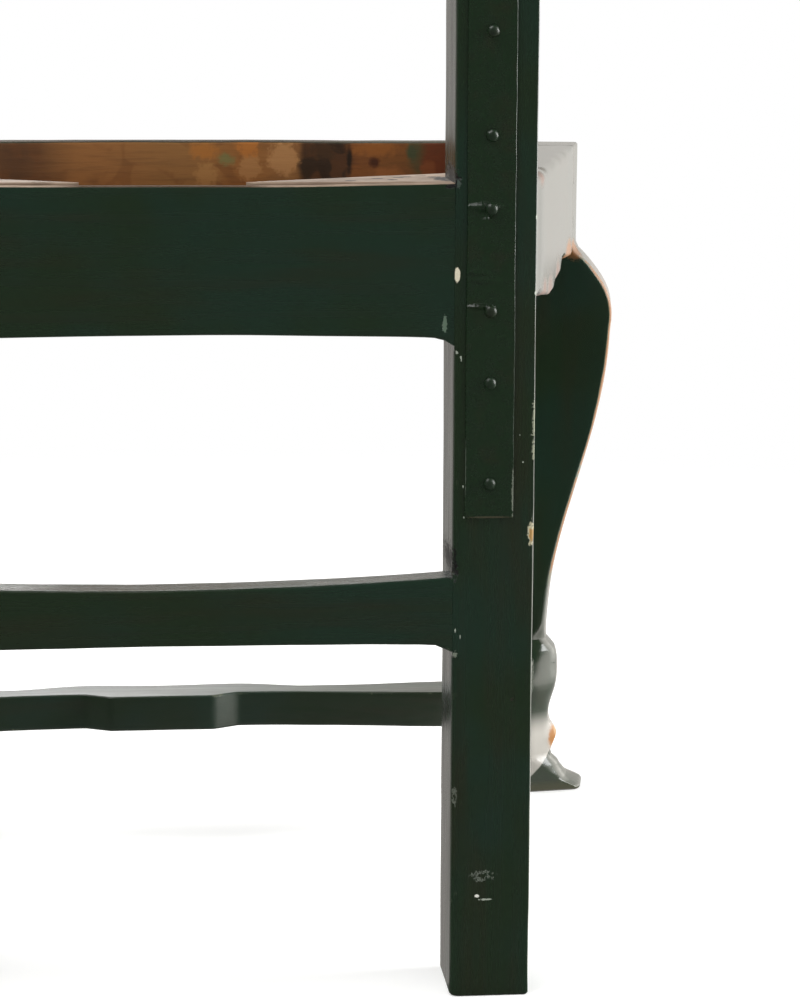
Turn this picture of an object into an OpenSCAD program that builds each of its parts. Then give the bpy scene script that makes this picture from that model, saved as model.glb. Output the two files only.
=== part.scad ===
// Painted high-back side chair with cabriole front legs, shaped stretchers and a splat back.
// The front faces -Y. "Right" and "left" are those of a person sitting in the chair.
// The seat itself is missing, so the seat frame is open.

/* [Overall] */
// Height of the crest rail above the floor
chair_h = 1150; // [1080:5:1220]
// Height of the seat rails' top edges above the floor
seat_h = 430; // [415:1:460]
// Width over the two rear posts
rear_w = 378.5; // [350:0.5:400]
// Width over the two front corners of the seat frame
front_w = 553; // [520:1:590]
// Depth from the back of the rear posts to the front corners
seat_d = 430; // [400:1:460]

/* [Rear posts] */
// Width of a rear post, seen from behind
post_w = 42; // [38:0.5:50]
// Depth of a rear post, seen from the side
post_d = 49.5; // [44:0.5:58]
// Width of a rear post under the crest rail
post_top_w = 34; // [28:0.5:38]
// Depth of a rear post under the crest rail
post_top_d = 30; // [28:0.5:36]
// Height above the seat rails at which the posts start to lean back
rake_from = 95; // [60:5:110]
// How far the back leans at the posts' tops
rake_run = 70; // [40:1:90]

/* [Seat rails] */
// Height of the rear seat rail
rear_rail_h = 79; // [70:1:85]
// Height of the side and front seat rails
side_rail_h = 71; // [66:1:76]
// Thickness of the side rails
side_rail_t = 25; // [22:0.5:30]
// Thickness of the front rail
front_rail_t = 26; // [22:0.5:30]
// Thickness of the rear rail
rear_rail_t = 25; // [22:0.5:29]
// Thickness of the lip that the rear rail keeps above its seat ledge
rear_lip_t = 12; // [9:0.5:14]
// Depth of the seat ledges below the top of the rails
seat_drop = 30; // [24:1:32]
// Distance by which the side rails' outer lines pass inside the rear posts
rail_inset = 3.5; // [0:0.5:8]
// Length over which a side rail is pared down to meet the post
pare_len = 34; // [20:1:50]
// Drop of the shaped apron at the middle of the front rail
apron_drop = 32; // [15:1:40]
// Half width of the apron's central lobe
apron_half = 105; // [80:1:120]
// Length of a knee bracket along the front rail
bracket_len = 62; // [45:1:75]
// Height of a knee bracket
bracket_h = 46; // [35:1:50]

/* [Front legs] */
// Size of the square stile at the top of a front leg
stile = 50; // [46:0.5:56]
// How far the knee stands out past the stile
knee_out = 23.5; // [14:0.5:28]
// Height of the knee's fullest point
knee_h = 318; // [300:1:325]
// How far the ankle is set in from the stile's outer faces
ankle_in = 15.3; // [10:0.1:20]
// Thickness of the square ankle
ankle_t = 30; // [26:0.5:34]
// Thickness left behind the stile's outer faces at the back of the calf
calf_in = 43; // [38:0.5:48]
// Width across the flats of the eight-sided stretcher block
block_w = 46.5; // [42:0.5:50]
// Width across the flats of the shaft between block and foot
shaft_w = 35; // [30:0.5:38]
// Height at which the foot starts to flare
foot_h = 31; // [28:1:38]
// How far the foot's toe stands out past the stile's outer faces
toe_out = 9.5; // [4:0.5:14]
// Height of the spur on the shaft's outer corner
spur_h = 41; // [38:1:44]
// How far the spur stands out past the shaft
spur_out = 5; // [3:0.5:6]

/* [Stretchers] */
// Height of the rear stretcher's lower edge above the floor
rear_str_z = 191; // [170:1:210]
// Height of the rear stretcher
rear_str_h = 36; // [30:1:42]
// Thickness of the rear stretcher
rear_str_t = 20; // [16:0.5:24]
// Height of the lower edge of the side and middle stretchers
low_str_z = 74; // [68:1:78]
// Height of the side and middle stretchers
low_str_h = 22; // [18:0.5:24]
// Width of a side stretcher at its ends
side_str_w = 19; // [17:0.5:22]
// Swelling of a side stretcher where the middle stretcher meets it
side_str_swell = 9; // [5:0.5:12]
// Distance of the middle stretcher from the back of the posts
mid_str_d = 306; // [270:1:320]
// Depth of the middle stretcher's central lobe
lobe_d = 30; // [26:0.5:36]
// Half width of the middle stretcher's central lobe
lobe_half = 47; // [40:1:56]
// Depth of the notch at each side of the lobe, on the rear face
lobe_notch = 8; // [4:0.5:9]
// Depth of the middle stretcher at its waists
waist_d = 18; // [15:0.5:22]
// Depth of the middle stretcher at its ends
end_d = 32; // [26:0.5:36]

/* [Back] */
// Height of the lower back rail's lower edge above the seat rails
back_rail_up = 110; // [100:5:130]
// Height of the lower back rail
back_rail_h = 42; // [34:1:50]
// Thickness of the lower back rail
back_rail_t = 20; // [16:0.5:24]
// Greatest width of the splat
splat_w = 168; // [140:1:190]
// Thickness of the splat
splat_t = 11; // [9:0.5:14]
// Height of the crest rail at its middle
crest_h = 112; // [95:1:125]
// Thickness of the crest rail
crest_t = 30; // [26:0.5:36]
// How far the crest rail stands out past the posts' tops
crest_over = 12; // [6:1:20]

/* [Ironwork] */
// Length of the iron strap on the back of a post
strap_len = 266; // [240:1:270]
// Width of the iron strap
strap_w = 25; // [20:0.5:28]
// Thickness of the iron strap
strap_t = 1.5; // [1:0.1:2.5]
// Distance of the strap from the post's outer face
strap_in = 11; // [6:0.5:13]
// Height of the strap's middle below the top of the rails
strap_mid_drop = 39; // [30:1:50]
// Diameter of a strap nail's domed head
nail_head_d = 5.5; // [4:0.5:8]
// Diameter of a strap nail's shank
nail_shank_d = 2.5; // [2:0.5:3]
// Distance between the two middle nails of a strap
nail_gap_mid = 52; // [40:1:60]
// Distance between a strap's second and fifth nail
nail_gap_inner = 126; // [110:1:140]
// Distance between a strap's first and last nail
nail_gap_outer = 230; // [200:1:240]

/* [Joints] */
// Thickness of the seat rails' tenons
tenon_t = 9; // [7:0.5:10]
// Length of a tenon
tenon_len = 27; // [20:0.5:28]
// Shoulder above and below a tenon
shoulder = 9; // [6:0.5:11]
// Gap all round a tenon in its mortise
joint_gap = 0.2; // [0.1:0.05:0.4]
// Diameter of a joint's wooden peg
peg_d = 8; // [6:0.5:9]
// Gap between a peg or nail and its hole
hole_gap = 0.1; // [0.05:0.05:0.2]
// Diameter of the nails that hold the cleats and corner boards
shank_d = 2.5; // [2:0.5:3]
// Width and height of a seat cleat
cleat = 19; // [15:1:24]

/* [Hidden] */
$fn = 48;

paint = [0.10, 0.17, 0.15];
bare_wood = [0.55, 0.36, 0.20];
old_iron = [0.13, 0.18, 0.17];

// Plan of the seat frame
post_out = rear_w / 2;
post_in = post_out - post_w;
splay = atan((front_w / 2 - post_out + rail_inset) / seat_d);
rail_z = seat_h - side_rail_h;
ledge_z = seat_h - seat_drop;
// The front rail's curve runs straight on from the front faces of the two stiles
stile_edge = corner_point(-stile, 0);
bow_r = stile_edge[0] / sin(splay);
bow_y = stile_edge[1] + bow_r * cos(splay);
bow_front = bow_y - bow_r;

// Front leg, in a frame at the seat's corner: x points outward, y to the rear
knee_rise = 4;
calf_drop = 29;
block_over = 0.5;
ankle_rise = 10;
shaft_drop = 17;
knee_top = rail_z + knee_rise;
calf_h = knee_h - calf_drop;
block_top = low_str_z + low_str_h + block_over;
block_foot = low_str_z - block_over;
ankle_h = block_top + ankle_rise;
ankle_mid = ankle_in + ankle_t / 2;
shaft_top = block_foot - shaft_drop;
heel = ankle_in + ankle_t;
block_back = ankle_mid + block_w / 2;
// Foot: height of the instep's slice, its draw-in, and the rounding of heel and toe
instep_h = 9;
instep_in = 5;
sole_h = 4;
sole_in = 1;
heel_r = 6;
toe_r = 12;
foot_side = 15;
// Spur: rise to its tip, the height where it dies out, and how much slimmer it is than the shaft
spur_rise = 6;
spur_foot = 26;
spur_less = 5;
// Overlap of the leg's stretches, and how far inside them the blends start
lap = 1;
blend_in = 0.1;

// Back
rake_z = seat_h + rake_from;
crest_z = chair_h - crest_h;
crest_rise = 12;
post_top = crest_z + crest_rise;
crest_tenon = 30;
back_rail_z = seat_h + back_rail_up;
splat_z = back_rail_z + back_rail_h;
crest_half = post_in + post_top_w + crest_over;
back_edge = lean(chair_h);
// Distance of the lower back rail and of the splat from the posts' rear faces
back_rail_set = 5;
splat_set = 9;
// Depth and shares of the splat's width that stand in the two rails
splat_let_in = 12;
splat_foot_share = 0.22;
splat_head_share = 0.3;
splat_shoulder = 1.5;
// How far the lower back rail's middle is raised
back_rail_rise = 3;

// Joints: how far a tenon is drawn back into its own rail, and the smaller shoulders
root = 5;
set_forward = 1;
rail_tenon_edge = 3;
low_shoulder = 3;
mid_shoulder = 5;
mid_tenon_half = 9;
post_tenon_side = 7;
post_tenon_root = 30;

// Hole sizes, and how far a cutter runs out past the face that it opens
peg_hole = peg_d + 2 * hole_gap;
nail_hole = shank_d + 2 * hole_gap;
strap_hole = nail_shank_d + 2 * hole_gap;
cut_over = 2;

// Pegs: distances from the joint's edge to the peg, and how deep the pegs go
peg_share = 0.3;
peg_heights = [rail_z + side_rail_h * peg_share, seat_h - side_rail_h * peg_share];
leg_peg_in = 14;
leg_peg_len = 28;
post_peg_in = 13;
post_peg_len = 24;
rear_peg_in = 11;
rear_peg_back = 4;
low_peg_len = 36;
back_peg_in = 12;
peg_recess = 1;
mid_peg_up = 2;
mid_peg_less = 2;

// Corner boards: place on the rear rail, slope of the front edge, and their nails' places
board_start = 67;
board_slope = 0.83;
board_side_in = 12;
board_lap = 8;
board_nail_deep = 12;
board_nail_xs = [board_start + 32, post_in - 14];

// Distance of the knee brackets from the front rail's two faces
bracket_set = 2;

// Corner blocks in the front corners
block_leg = 58;
block_lap = 6;
block_step = 14;

// Cleats and their nails
cleat_off_leg = 62;
cleat_off_post = 72;
side_cleat_from = stile + cleat_off_leg;
side_cleat_to = run_to(-post_d, 0) - cleat_off_post;
side_cleat_nails = [0.12, 0.5, 0.88];
front_cleat_half = 118;
front_nail_angles = [-5, 0, 5];
cleat_nail_deep = 12;

// Iron straps and their nails
strap_mid = seat_h - strap_mid_drop;
strap_x = post_out - strap_in - strap_w / 2;
nail_len = 8;
nail_dome = 0.34;
nail_zs = [for (g = [nail_gap_mid, nail_gap_inner, nail_gap_outer], s = [-1, 1]) strap_mid + s * g / 2];

// The origin is on the floor below the middle of the bounding box
shift_y = -(bow_front + back_edge) / 2;

function mix(a, b, t) = a + (b - a) * t;
function clip(t) = min(1, max(0, t));
// Goes from 0 to 1 with a level start and end
function ease(t) = (1 - cos(180 * clip(t))) / 2;
// Turns a point of the corner's frame into a point of the plan
function corner_point(x, y) = [
    front_w / 2 + x * cos(splay) - y * sin(splay),
    -seat_d + x * sin(splay) + y * cos(splay)
];
// Distance in a side rail's frame from the corner to a line across the plan, at one x
function run_to(plan_y, x) = (plan_y + seat_d - x * sin(splay)) / cos(splay);
// Distance by which the back's rear face leans at a height
function lean(z) = z <= rake_z ? 0 : rake_run * pow((z - rake_z) / (post_top - rake_z), 1.35);

// Depth of a rear post at a height: it tapers above the seat
function post_depth(z) = mix(post_d, post_top_d, clip((z - rake_z) / (post_top - rake_z)));

// Places the children on the floor below the middle of the chair
module chair() {
    translate([0, shift_y, 0]) children();
}

// Mirrors a piece that is drawn for the left side
module right() {
    mirror([1, 0, 0]) children();
}

// Puts a piece in the frame of the left front corner
module at_corner() {
    translate([front_w / 2, -seat_d, 0]) rotate([0, 0, splay]) children();
}

// Extrudes an outline drawn in X and Z from one y to another
module along_y(y0, y1) {
    translate([0, y1, 0]) rotate([90, 0, 0]) linear_extrude(y1 - y0) children();
}

// Extrudes an outline drawn in Y and Z from one x to another
module along_x(x0, x1) {
    translate([x0, 0, 0]) rotate([90, 0, 90]) linear_extrude(x1 - x0) children();
}

// A box between two opposite corners
module block(low, high) {
    translate(low) cube(high - low);
}

// A peg or nail along Y
module rod_y(x, y0, y1, z, d) {
    translate([x, y0, z]) rotate([-90, 0, 0]) cylinder(h = y1 - y0, d = d);
}

// A peg or nail along X
module rod_x(x0, x1, y, z, d) {
    translate([x0, y, z]) rotate([0, 90, 0]) cylinder(h = x1 - x0, d = d);
}

// Tenons, each drawn for the left side and grown by a gap to cut its mortise
module rear_rail_tenon(gap) {
    y = -rear_rail_t / 2 - tenon_t / 2 - set_forward;
    block([post_in - root, y - gap, seat_h - rear_rail_h + shoulder - gap],
          [post_in + tenon_len + gap, y + tenon_t + gap, ledge_z - 1 + gap]);
}

module side_rail_tenon_rear(gap) {
    x = -side_rail_t + rail_tenon_edge;
    end = run_to(-post_d, x + tenon_t / 2);
    at_corner() block([x - gap, end - root, rail_z + shoulder - gap],
                      [x + tenon_t + gap, end + tenon_len - 2 + gap, seat_h - shoulder + gap]);
}

module side_rail_tenon_front(gap) {
    x = -side_rail_t / 2 - tenon_t / 2;
    at_corner() block([x - gap, stile - tenon_len - gap, rail_z + shoulder - gap],
                      [x + tenon_t + gap, stile + root, seat_h - shoulder + gap]);
}

module front_rail_tenon(gap) {
    y = front_rail_t / 2 - tenon_t / 2;
    at_corner() block([-stile - root, y - gap, rail_z + shoulder - gap],
                      [-stile + tenon_len + gap, y + tenon_t + gap, seat_h - shoulder + gap]);
}

module rear_stretcher_tenon(gap) {
    y = -rear_str_t / 2 - tenon_t / 2 - set_forward;
    block([post_in - root, y - gap, rear_str_z + shoulder - gap],
          [post_in + tenon_len + gap, y + tenon_t + gap, rear_str_z + rear_str_h - shoulder + gap]);
}

module side_stretcher_tenon_rear(gap) {
    end = run_to(-post_d, -ankle_mid);
    at_corner() block([-ankle_mid - tenon_t / 2 - gap, end - root, low_str_z + low_shoulder - gap],
                      [-ankle_mid + tenon_t / 2 + gap, end + tenon_len + gap,
                       low_str_z + low_str_h - low_shoulder + gap]);
}

module side_stretcher_tenon_front(gap) {
    at_corner() block([-ankle_mid - tenon_t / 2 - gap, block_back - tenon_len - gap,
                       low_str_z + low_shoulder - gap],
                      [-ankle_mid + tenon_t / 2 + gap, block_back + root,
                       low_str_z + low_str_h - low_shoulder + gap]);
}

module middle_stretcher_tenon(gap) {
    y = run_to(-mid_str_d, -ankle_mid);
    at_corner() block([-ankle_mid - side_str_w / 2 - side_str_swell - root, y - mid_tenon_half - gap,
                       low_str_z + mid_shoulder - gap],
                      [-ankle_mid + gap, y + mid_tenon_half + gap,
                       low_str_z + low_str_h - mid_shoulder + gap]);
}

module back_rail_tenon(gap) {
    y = lean(back_rail_z) - back_rail_set - back_rail_t / 2;
    block([post_in - root, y - tenon_t / 2 - gap, back_rail_z + shoulder - gap],
          [post_in + tenon_len + gap, y + tenon_t / 2 + gap, back_rail_z + back_rail_h - shoulder + gap]);
}

module post_tenon(gap) {
    y = (lean(post_top) + lean(post_top - post_tenon_root)) / 2 - post_top_d / 2;
    block([post_in + post_tenon_side - gap, y - tenon_t / 2 - gap, post_top - post_tenon_root],
          [post_in + post_top_w - post_tenon_side + gap, y + tenon_t / 2 + gap,
           post_top + crest_tenon + gap]);
}

// Pegs: pairs in the seat joints and single pegs elsewhere
module leg_side_pegs(d, over = 0) {
    for (z = peg_heights) at_corner() rod_x(-leg_peg_len, over, stile - leg_peg_in, z, d);
}

module leg_front_pegs(d, over = 0) {
    for (z = peg_heights) at_corner() rod_y(-stile + leg_peg_in, -over, leg_peg_len, z, d);
}

module post_side_pegs(d, over = 0) {
    for (z = peg_heights) rod_x(post_out - post_peg_len, post_out + over, -post_d + post_peg_in, z, d);
}

module rear_rail_pegs(d, over = 0) {
    low = seat_h - rear_rail_h + shoulder;
    for (t = [peg_share, 1 - peg_share])
        rod_y(post_in + rear_peg_in, -post_d - over, -rear_peg_back, mix(low, ledge_z, t), d);
}

module rear_stretcher_peg(d, over = 0) {
    rod_y(post_in + rear_peg_in, -post_d - over, -rear_peg_back, rear_str_z + rear_str_h / 2, d);
}

module side_stretcher_pegs_at(d, over = 0) {
    z = low_str_z + low_str_h / 2;
    rod_x(post_out - low_peg_len, post_out + over, -post_d + post_peg_in, z, d);
    at_corner()
        rod_x(-ankle_mid - block_w / 4, -ankle_mid + block_w / 2 + over, block_back - leg_peg_in, z, d);
}

module back_rail_peg(d, over = 0) {
    z = back_rail_z + back_rail_h / 2;
    rod_y(post_in + back_peg_in, lean(z) - post_depth(z) + peg_recess - over, lean(z) - rear_peg_back, z, d);
}

module crest_peg(d, over = 0) {
    z = post_top + crest_tenon / 2;
    rod_y(post_in + post_top_w / 2, lean(z) - crest_t + peg_recess - over, lean(z) - back_rail_set, z, d);
}

// Rear post
module rear_post_blank() {
    steps = 14;
    zs = [for (i = [0:steps]) mix(rake_z, post_top, i / steps)];
    side = concat(
        [[0, 0], [-post_d, 0]],
        [for (z = zs) [lean(z) - post_depth(z), z]],
        [for (i = [steps:-1:0]) [lean(zs[i]), zs[i]]]
    );
    front = [
        [post_in, 0], [post_out, 0], [post_out, rake_z], [post_in + post_top_w, post_top], [post_in, post_top]
    ];
    intersection() {
        along_x(post_in, post_out) polygon(side);
        along_y(-post_d - rake_run, post_d + rake_run) polygon(front);
    }
}

module rear_post() {
    difference() {
        union() {
            rear_post_blank();
            post_tenon(0);
        }
        rear_rail_tenon(joint_gap);
        side_rail_tenon_rear(joint_gap);
        rear_stretcher_tenon(joint_gap);
        side_stretcher_tenon_rear(joint_gap);
        back_rail_tenon(joint_gap);
        post_side_pegs(peg_hole, cut_over);
        rear_rail_pegs(peg_hole, cut_over);
        rear_stretcher_peg(peg_hole, cut_over);
        side_stretcher_pegs_at(peg_hole, cut_over);
        back_rail_peg(peg_hole, cut_over);
        crest_peg(peg_hole, cut_over);
        strap_nail_rods(strap_hole);
    }
}

// Outline of a cross rail between the posts, with an easy dip and small flares at its ends
module cross_rail_outline(z0, z1, dip_top, rise_bottom) {
    n = 12;
    flare = 4;
    flare_len = 14;
    inner = post_in - flare_len;
    function sag(x) = 1 - pow(x / post_in, 2);
    function flare_at(x) = flare * pow(clip((abs(x) - inner) / flare_len), 3);
    xs = concat(
        [for (i = [4:-1:1]) -inner - i * flare_len / 4],
        [for (i = [0:n]) mix(-inner, inner, i / n)],
        [for (i = [1:4]) inner + i * flare_len / 4]
    );
    last = len(xs) - 1;
    polygon(concat(
        [for (x = xs) [x, z0 + rise_bottom * sag(x) - flare_at(x)]],
        [for (i = [last:-1:0]) [xs[i], z1 - dip_top * sag(xs[i])]]
    ));
}

module rear_rail() {
    bottom = seat_h - rear_rail_h;
    difference() {
        union() {
            along_y(-rear_rail_t, 0) cross_rail_outline(bottom, seat_h, 1.5, 2.5);
            rear_rail_tenon(0);
            mirror([1, 0, 0]) rear_rail_tenon(0);
        }
        block([-post_in - 1, -rear_rail_t - 1, ledge_z], [post_in + 1, -rear_lip_t, seat_h + 1]);
        for (m = [0, 1]) mirror([m, 0, 0]) {
            rear_rail_pegs(peg_hole, cut_over);
            board_nail_rods(nail_hole, cut_over);
        }
    }
}

module rear_stretcher() {
    difference() {
        union() {
            along_y(-rear_str_t, 0) cross_rail_outline(rear_str_z, rear_str_z + rear_str_h, 5, 1.5);
            rear_stretcher_tenon(0);
            mirror([1, 0, 0]) rear_stretcher_tenon(0);
        }
        for (m = [0, 1]) mirror([m, 0, 0]) rear_stretcher_peg(peg_hole, cut_over);
    }
}

// Side rail: straight outside, pared at its rear end to meet the post's outer face
module side_rail_plan() {
    outer_pare = run_to(-post_d, 0) - pare_len;
    inner_end = corner_point(-side_rail_t, run_to(-post_d, -side_rail_t));
    polygon([
        corner_point(0, stile),
        corner_point(0, outer_pare),
        [post_out, -post_d],
        inner_end,
        corner_point(-side_rail_t, stile)
    ]);
}

module side_rail() {
    difference() {
        union() {
            translate([0, 0, rail_z]) linear_extrude(side_rail_h) side_rail_plan();
            side_rail_tenon_front(0);
            side_rail_tenon_rear(0);
        }
        leg_side_pegs(peg_hole, cut_over);
        post_side_pegs(peg_hole, cut_over);
        side_cleat_nail_rods(nail_hole, cut_over);
    }
}

// The band between two of the front rail's concentric curves
module bow_band(outer_in, inner_in, z0, z1) {
    translate([0, bow_y, z0]) difference() {
        cylinder(h = z1 - z0, r = bow_r - outer_in, $fn = 360);
        translate([0, 0, -1]) cylinder(h = z1 - z0 + 2, r = bow_r - inner_in, $fn = 360);
    }
}

// Everything between the inner faces of the two stiles
module between_stiles(z0, z1) {
    near = corner_point(-stile, -stile);
    far = corner_point(-stile, 2 * stile);
    translate([0, 0, z0]) linear_extrude(z1 - z0)
        polygon([near, far, [-far[0], far[1]], [-near[0], near[1]]]);
}

// Lower edge of the front rail: a central lobe between two small returns
module front_rail_outline() {
    n = 24;
    edge = stile_edge[0] + 5;
    function drop(x) = apron_drop * ease((apron_half - abs(x)) / (apron_half * 0.62));
    polygon(concat(
        [[-edge, rail_z], [-apron_half, rail_z]],
        [for (i = [1:n - 1]) let (x = mix(-apron_half, apron_half, i / n)) [x, rail_z - drop(x)]],
        [[apron_half, rail_z], [edge, rail_z], [edge, seat_h], [-edge, seat_h]]
    ));
}

module front_rail() {
    difference() {
        union() {
            intersection() {
                bow_band(0, front_rail_t, rail_z - apron_drop - 1, seat_h);
                between_stiles(rail_z - apron_drop - 1, seat_h);
                along_y(bow_front - 1, bow_front + 4 * front_rail_t) front_rail_outline();
            }
            for (m = [0, 1]) mirror([m, 0, 0]) front_rail_tenon(0);
        }
        for (m = [0, 1]) mirror([m, 0, 0]) leg_front_pegs(peg_hole, cut_over);
        front_cleat_nail_rods(nail_hole, cut_over);
    }
}

// Cabriole front leg: one template sawn on two adjacent faces
function leg_outer(z) =
    z >= knee_top ? 0
    : z >= knee_h ? knee_out * sin(90 * (knee_top - z) / (knee_top - knee_h))
    : mix(knee_out, -ankle_in, ease((knee_h - z) / (knee_h - ankle_h)));
function leg_inner(z) =
    z >= knee_top ? stile
    : z >= calf_h ? mix(stile, calf_in, ease((knee_top - z) / (knee_top - calf_h)))
    : mix(calf_in, heel, ease((calf_h - z) / (calf_h - ankle_h)));

leg_zs = concat(
    [seat_h],
    [for (i = [0:7]) mix(knee_top, knee_h, i / 8)],
    [for (i = [0:20]) mix(knee_h, ankle_h, i / 20)],
    [ankle_h - 3 * lap]
);

// The template, with the outward direction given as 1 or -1
module leg_template(out) {
    last = len(leg_zs) - 1;
    polygon(concat(
        [for (z = leg_zs) [out * leg_outer(z), z]],
        [for (i = [last:-1:0]) [-out * leg_inner(leg_zs[i]), leg_zs[i]]]
    ));
}

// A regular eight-sided slice with its flats square to the leg's faces
module eight_slice(w, z, t) {
    translate([-ankle_mid, ankle_mid, z]) rotate([0, 0, 22.5]) cylinder(h = t, d = w / cos(22.5), $fn = 8);
}

// The shaft's slice drawn towards the toe, for the spur
module spur_slice(out, z, t) {
    translate([out + spur_less / 2, -out - spur_less / 2, 0]) eight_slice(shaft_w - spur_less, z, t);
}

// A slice of the foot: square at the heel, with its toe corner on the leg's diagonal
module foot_slice(out, z, t) {
    side = heel - foot_side;
    for (p = [[out - heel_r, side - heel_r], [heel_r - side, heel_r - out], [heel_r - heel, heel - heel_r]])
        translate([p[0], p[1], z]) cylinder(h = t, r = heel_r, $fn = 32);
    translate([out - toe_r, toe_r - out, z]) cylinder(h = t, r = toe_r, $fn = 32);
}

module front_leg_blank() {
    intersection() {
        along_y(-knee_out - lap, stile + lap) leg_template(1);
        along_x(-stile - lap, knee_out + lap) leg_template(-1);
    }
    hull() {
        block([blend_in - heel, ankle_in + blend_in, ankle_h - lap],
              [-ankle_in - blend_in, heel - blend_in, ankle_h]);
        eight_slice(block_w, block_foot, block_top - block_foot);
        eight_slice(shaft_w - 2 * blend_in, shaft_top, lap);
    }
    eight_slice(shaft_w, foot_h - lap, shaft_top - foot_h + 2 * lap);
    hull() {
        eight_slice(shaft_w - 2 * blend_in, spur_h + spur_rise - lap, lap);
        spur_slice(spur_out, spur_h - lap, lap);
        spur_slice(-blend_in, spur_foot, lap);
    }
    hull() {
        eight_slice(shaft_w - 2 * blend_in, foot_h - lap, lap);
        foot_slice(toe_out - instep_in, instep_h, lap);
        foot_slice(toe_out, lap, sole_h - lap);
        foot_slice(toe_out - sole_in, 0, lap);
    }
}

module front_leg() {
    difference() {
        at_corner() front_leg_blank();
        side_rail_tenon_front(joint_gap);
        front_rail_tenon(joint_gap);
        side_stretcher_tenon_front(joint_gap);
        leg_side_pegs(peg_hole, cut_over);
        leg_front_pegs(peg_hole, cut_over);
        side_stretcher_pegs_at(peg_hole, cut_over);
    }
}

// Knee bracket under the front rail, glued to the leg's inner face
module knee_bracket() {
    tip = 9;
    end = -stile - bracket_len;
    intersection() {
        bow_band(bracket_set, front_rail_t - bracket_set, rail_z - bracket_h, rail_z);
        at_corner() along_y(-stile, stile) polygon(concat(
            [[-stile, rail_z], [-stile, rail_z - bracket_h]],
            [for (a = [0:7.5:90]) [
                end + (bracket_len - tip) * cos(a),
                rail_z - bracket_h + (bracket_h - tip) * sin(a)
            ]],
            [[end, rail_z]]
        ));
    }
}

// Plan points of a side stretcher's inner face, which swells where the middle stretcher meets it
swell_mid = run_to(-mid_str_d, -ankle_mid);
swell_reach = 75;
swell_points = [
    for (i = [0:16])
        let (y = mix(swell_mid + swell_reach, max(swell_mid - swell_reach, block_back + 1), i / 16))
            corner_point(
                -ankle_mid - side_str_w / 2 - side_str_swell * ease(1 - abs(y - swell_mid) / swell_reach), y)
];

module side_stretcher() {
    xo = -ankle_mid + side_str_w / 2;
    xi = -ankle_mid - side_str_w / 2;
    difference() {
        union() {
            translate([0, 0, low_str_z]) linear_extrude(low_str_h) polygon(concat(
                [corner_point(xo, block_back), corner_point(xo, run_to(-post_d, xo))],
                [corner_point(xi, run_to(-post_d, xi))],
                swell_points,
                [corner_point(xi, block_back)]
            ));
            side_stretcher_tenon_front(0);
            side_stretcher_tenon_rear(0);
        }
        middle_stretcher_tenon(joint_gap);
        side_stretcher_pegs_at(peg_hole, cut_over);
        middle_stretcher_peg(peg_hole, cut_over);
    }
}

module middle_stretcher_peg(d, over = 0) {
    at_corner() translate([-ankle_mid - mid_shoulder, swell_mid, low_str_z + mid_peg_up])
        cylinder(h = low_str_h - mid_peg_up + over, d = d - mid_peg_less);
}

// Outline of the middle stretcher, by the distance from its middle. The rear line has a flat lobe,
// a slanting facet down to a notch, then a slow swelling; the front line has a lobe and a waist.
lobe_facet = 15;
lobe_crown = 3;
waist_at = lobe_half * 2;
rear_end = end_d / 2 + 3;
function mid_rear(a, end) =
    a < lobe_half - lobe_facet ? lobe_d / 2
    : a < lobe_half ? lobe_d / 2 - lobe_notch * (1 - (lobe_half - a) / lobe_facet)
    : mix(lobe_d / 2 - lobe_notch, rear_end, ease((a - lobe_half) / (end - lobe_half)));
function mid_front(a, end) =
    let (waist = waist_d - mid_rear(waist_at, end))
    a < lobe_half ? lobe_d / 2 + lobe_crown * ease(a / lobe_half)
    : a < waist_at ? mix(lobe_d / 2 + lobe_crown, waist, ease((a - lobe_half) / (waist_at - lobe_half)))
    : mix(waist, end_d - rear_end, ease((a - waist_at) / (end - waist_at)));

module middle_stretcher() {
    inner_x = -ankle_mid - side_str_w / 2 - side_str_swell;
    end = corner_point(inner_x, swell_mid)[0];
    reach = end + 10;
    half_xs = concat(
        [0, lobe_half - lobe_facet - 10, lobe_half - lobe_facet],
        [lobe_half - lobe_facet / 2, lobe_half],
        [for (i = [1:6]) mix(lobe_half, waist_at, i / 6)],
        [for (i = [1:7]) mix(waist_at, end, i / 7)],
        [reach]
    );
    xs = concat([for (i = [len(half_xs) - 1:-1:1]) -half_xs[i]], half_xs);
    last = len(xs) - 1;
    difference() {
        union() {
            difference() {
                translate([0, -mid_str_d, low_str_z]) linear_extrude(low_str_h) polygon(concat(
                    [for (x = xs) [x, -mid_front(abs(x), end)]],
                    [for (i = [last:-1:0]) [xs[i], mid_rear(abs(xs[i]), end)]]
                ));
                for (m = [0, 1]) mirror([m, 0, 0]) side_stretcher_space();
            }
            for (m = [0, 1]) mirror([m, 0, 0]) middle_stretcher_tenon(0);
        }
        for (m = [0, 1]) mirror([m, 0, 0]) middle_stretcher_peg(peg_hole, cut_over);
    }
}

// The space outside a side stretcher's inner face, which the middle stretcher's shoulder is cut to
module side_stretcher_space() {
    translate([0, 0, low_str_z - 1]) linear_extrude(low_str_h + 2) polygon(concat(
        [corner_point(stile, swell_mid - swell_reach), corner_point(stile, swell_mid + swell_reach)],
        swell_points
    ));
}

// A curved strip that follows the back's lean, between two depths behind its rear face
module lean_strip(d0, d1, z0, z1, half) {
    n = 18;
    zs = [for (i = [0:n]) mix(z0, z1, i / n)];
    along_x(-half, half) polygon(concat(
        [for (z = zs) [lean(z) - d0, z]],
        [for (i = [n:-1:0]) [lean(zs[i]) - d1, zs[i]]]
    ));
}

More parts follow.
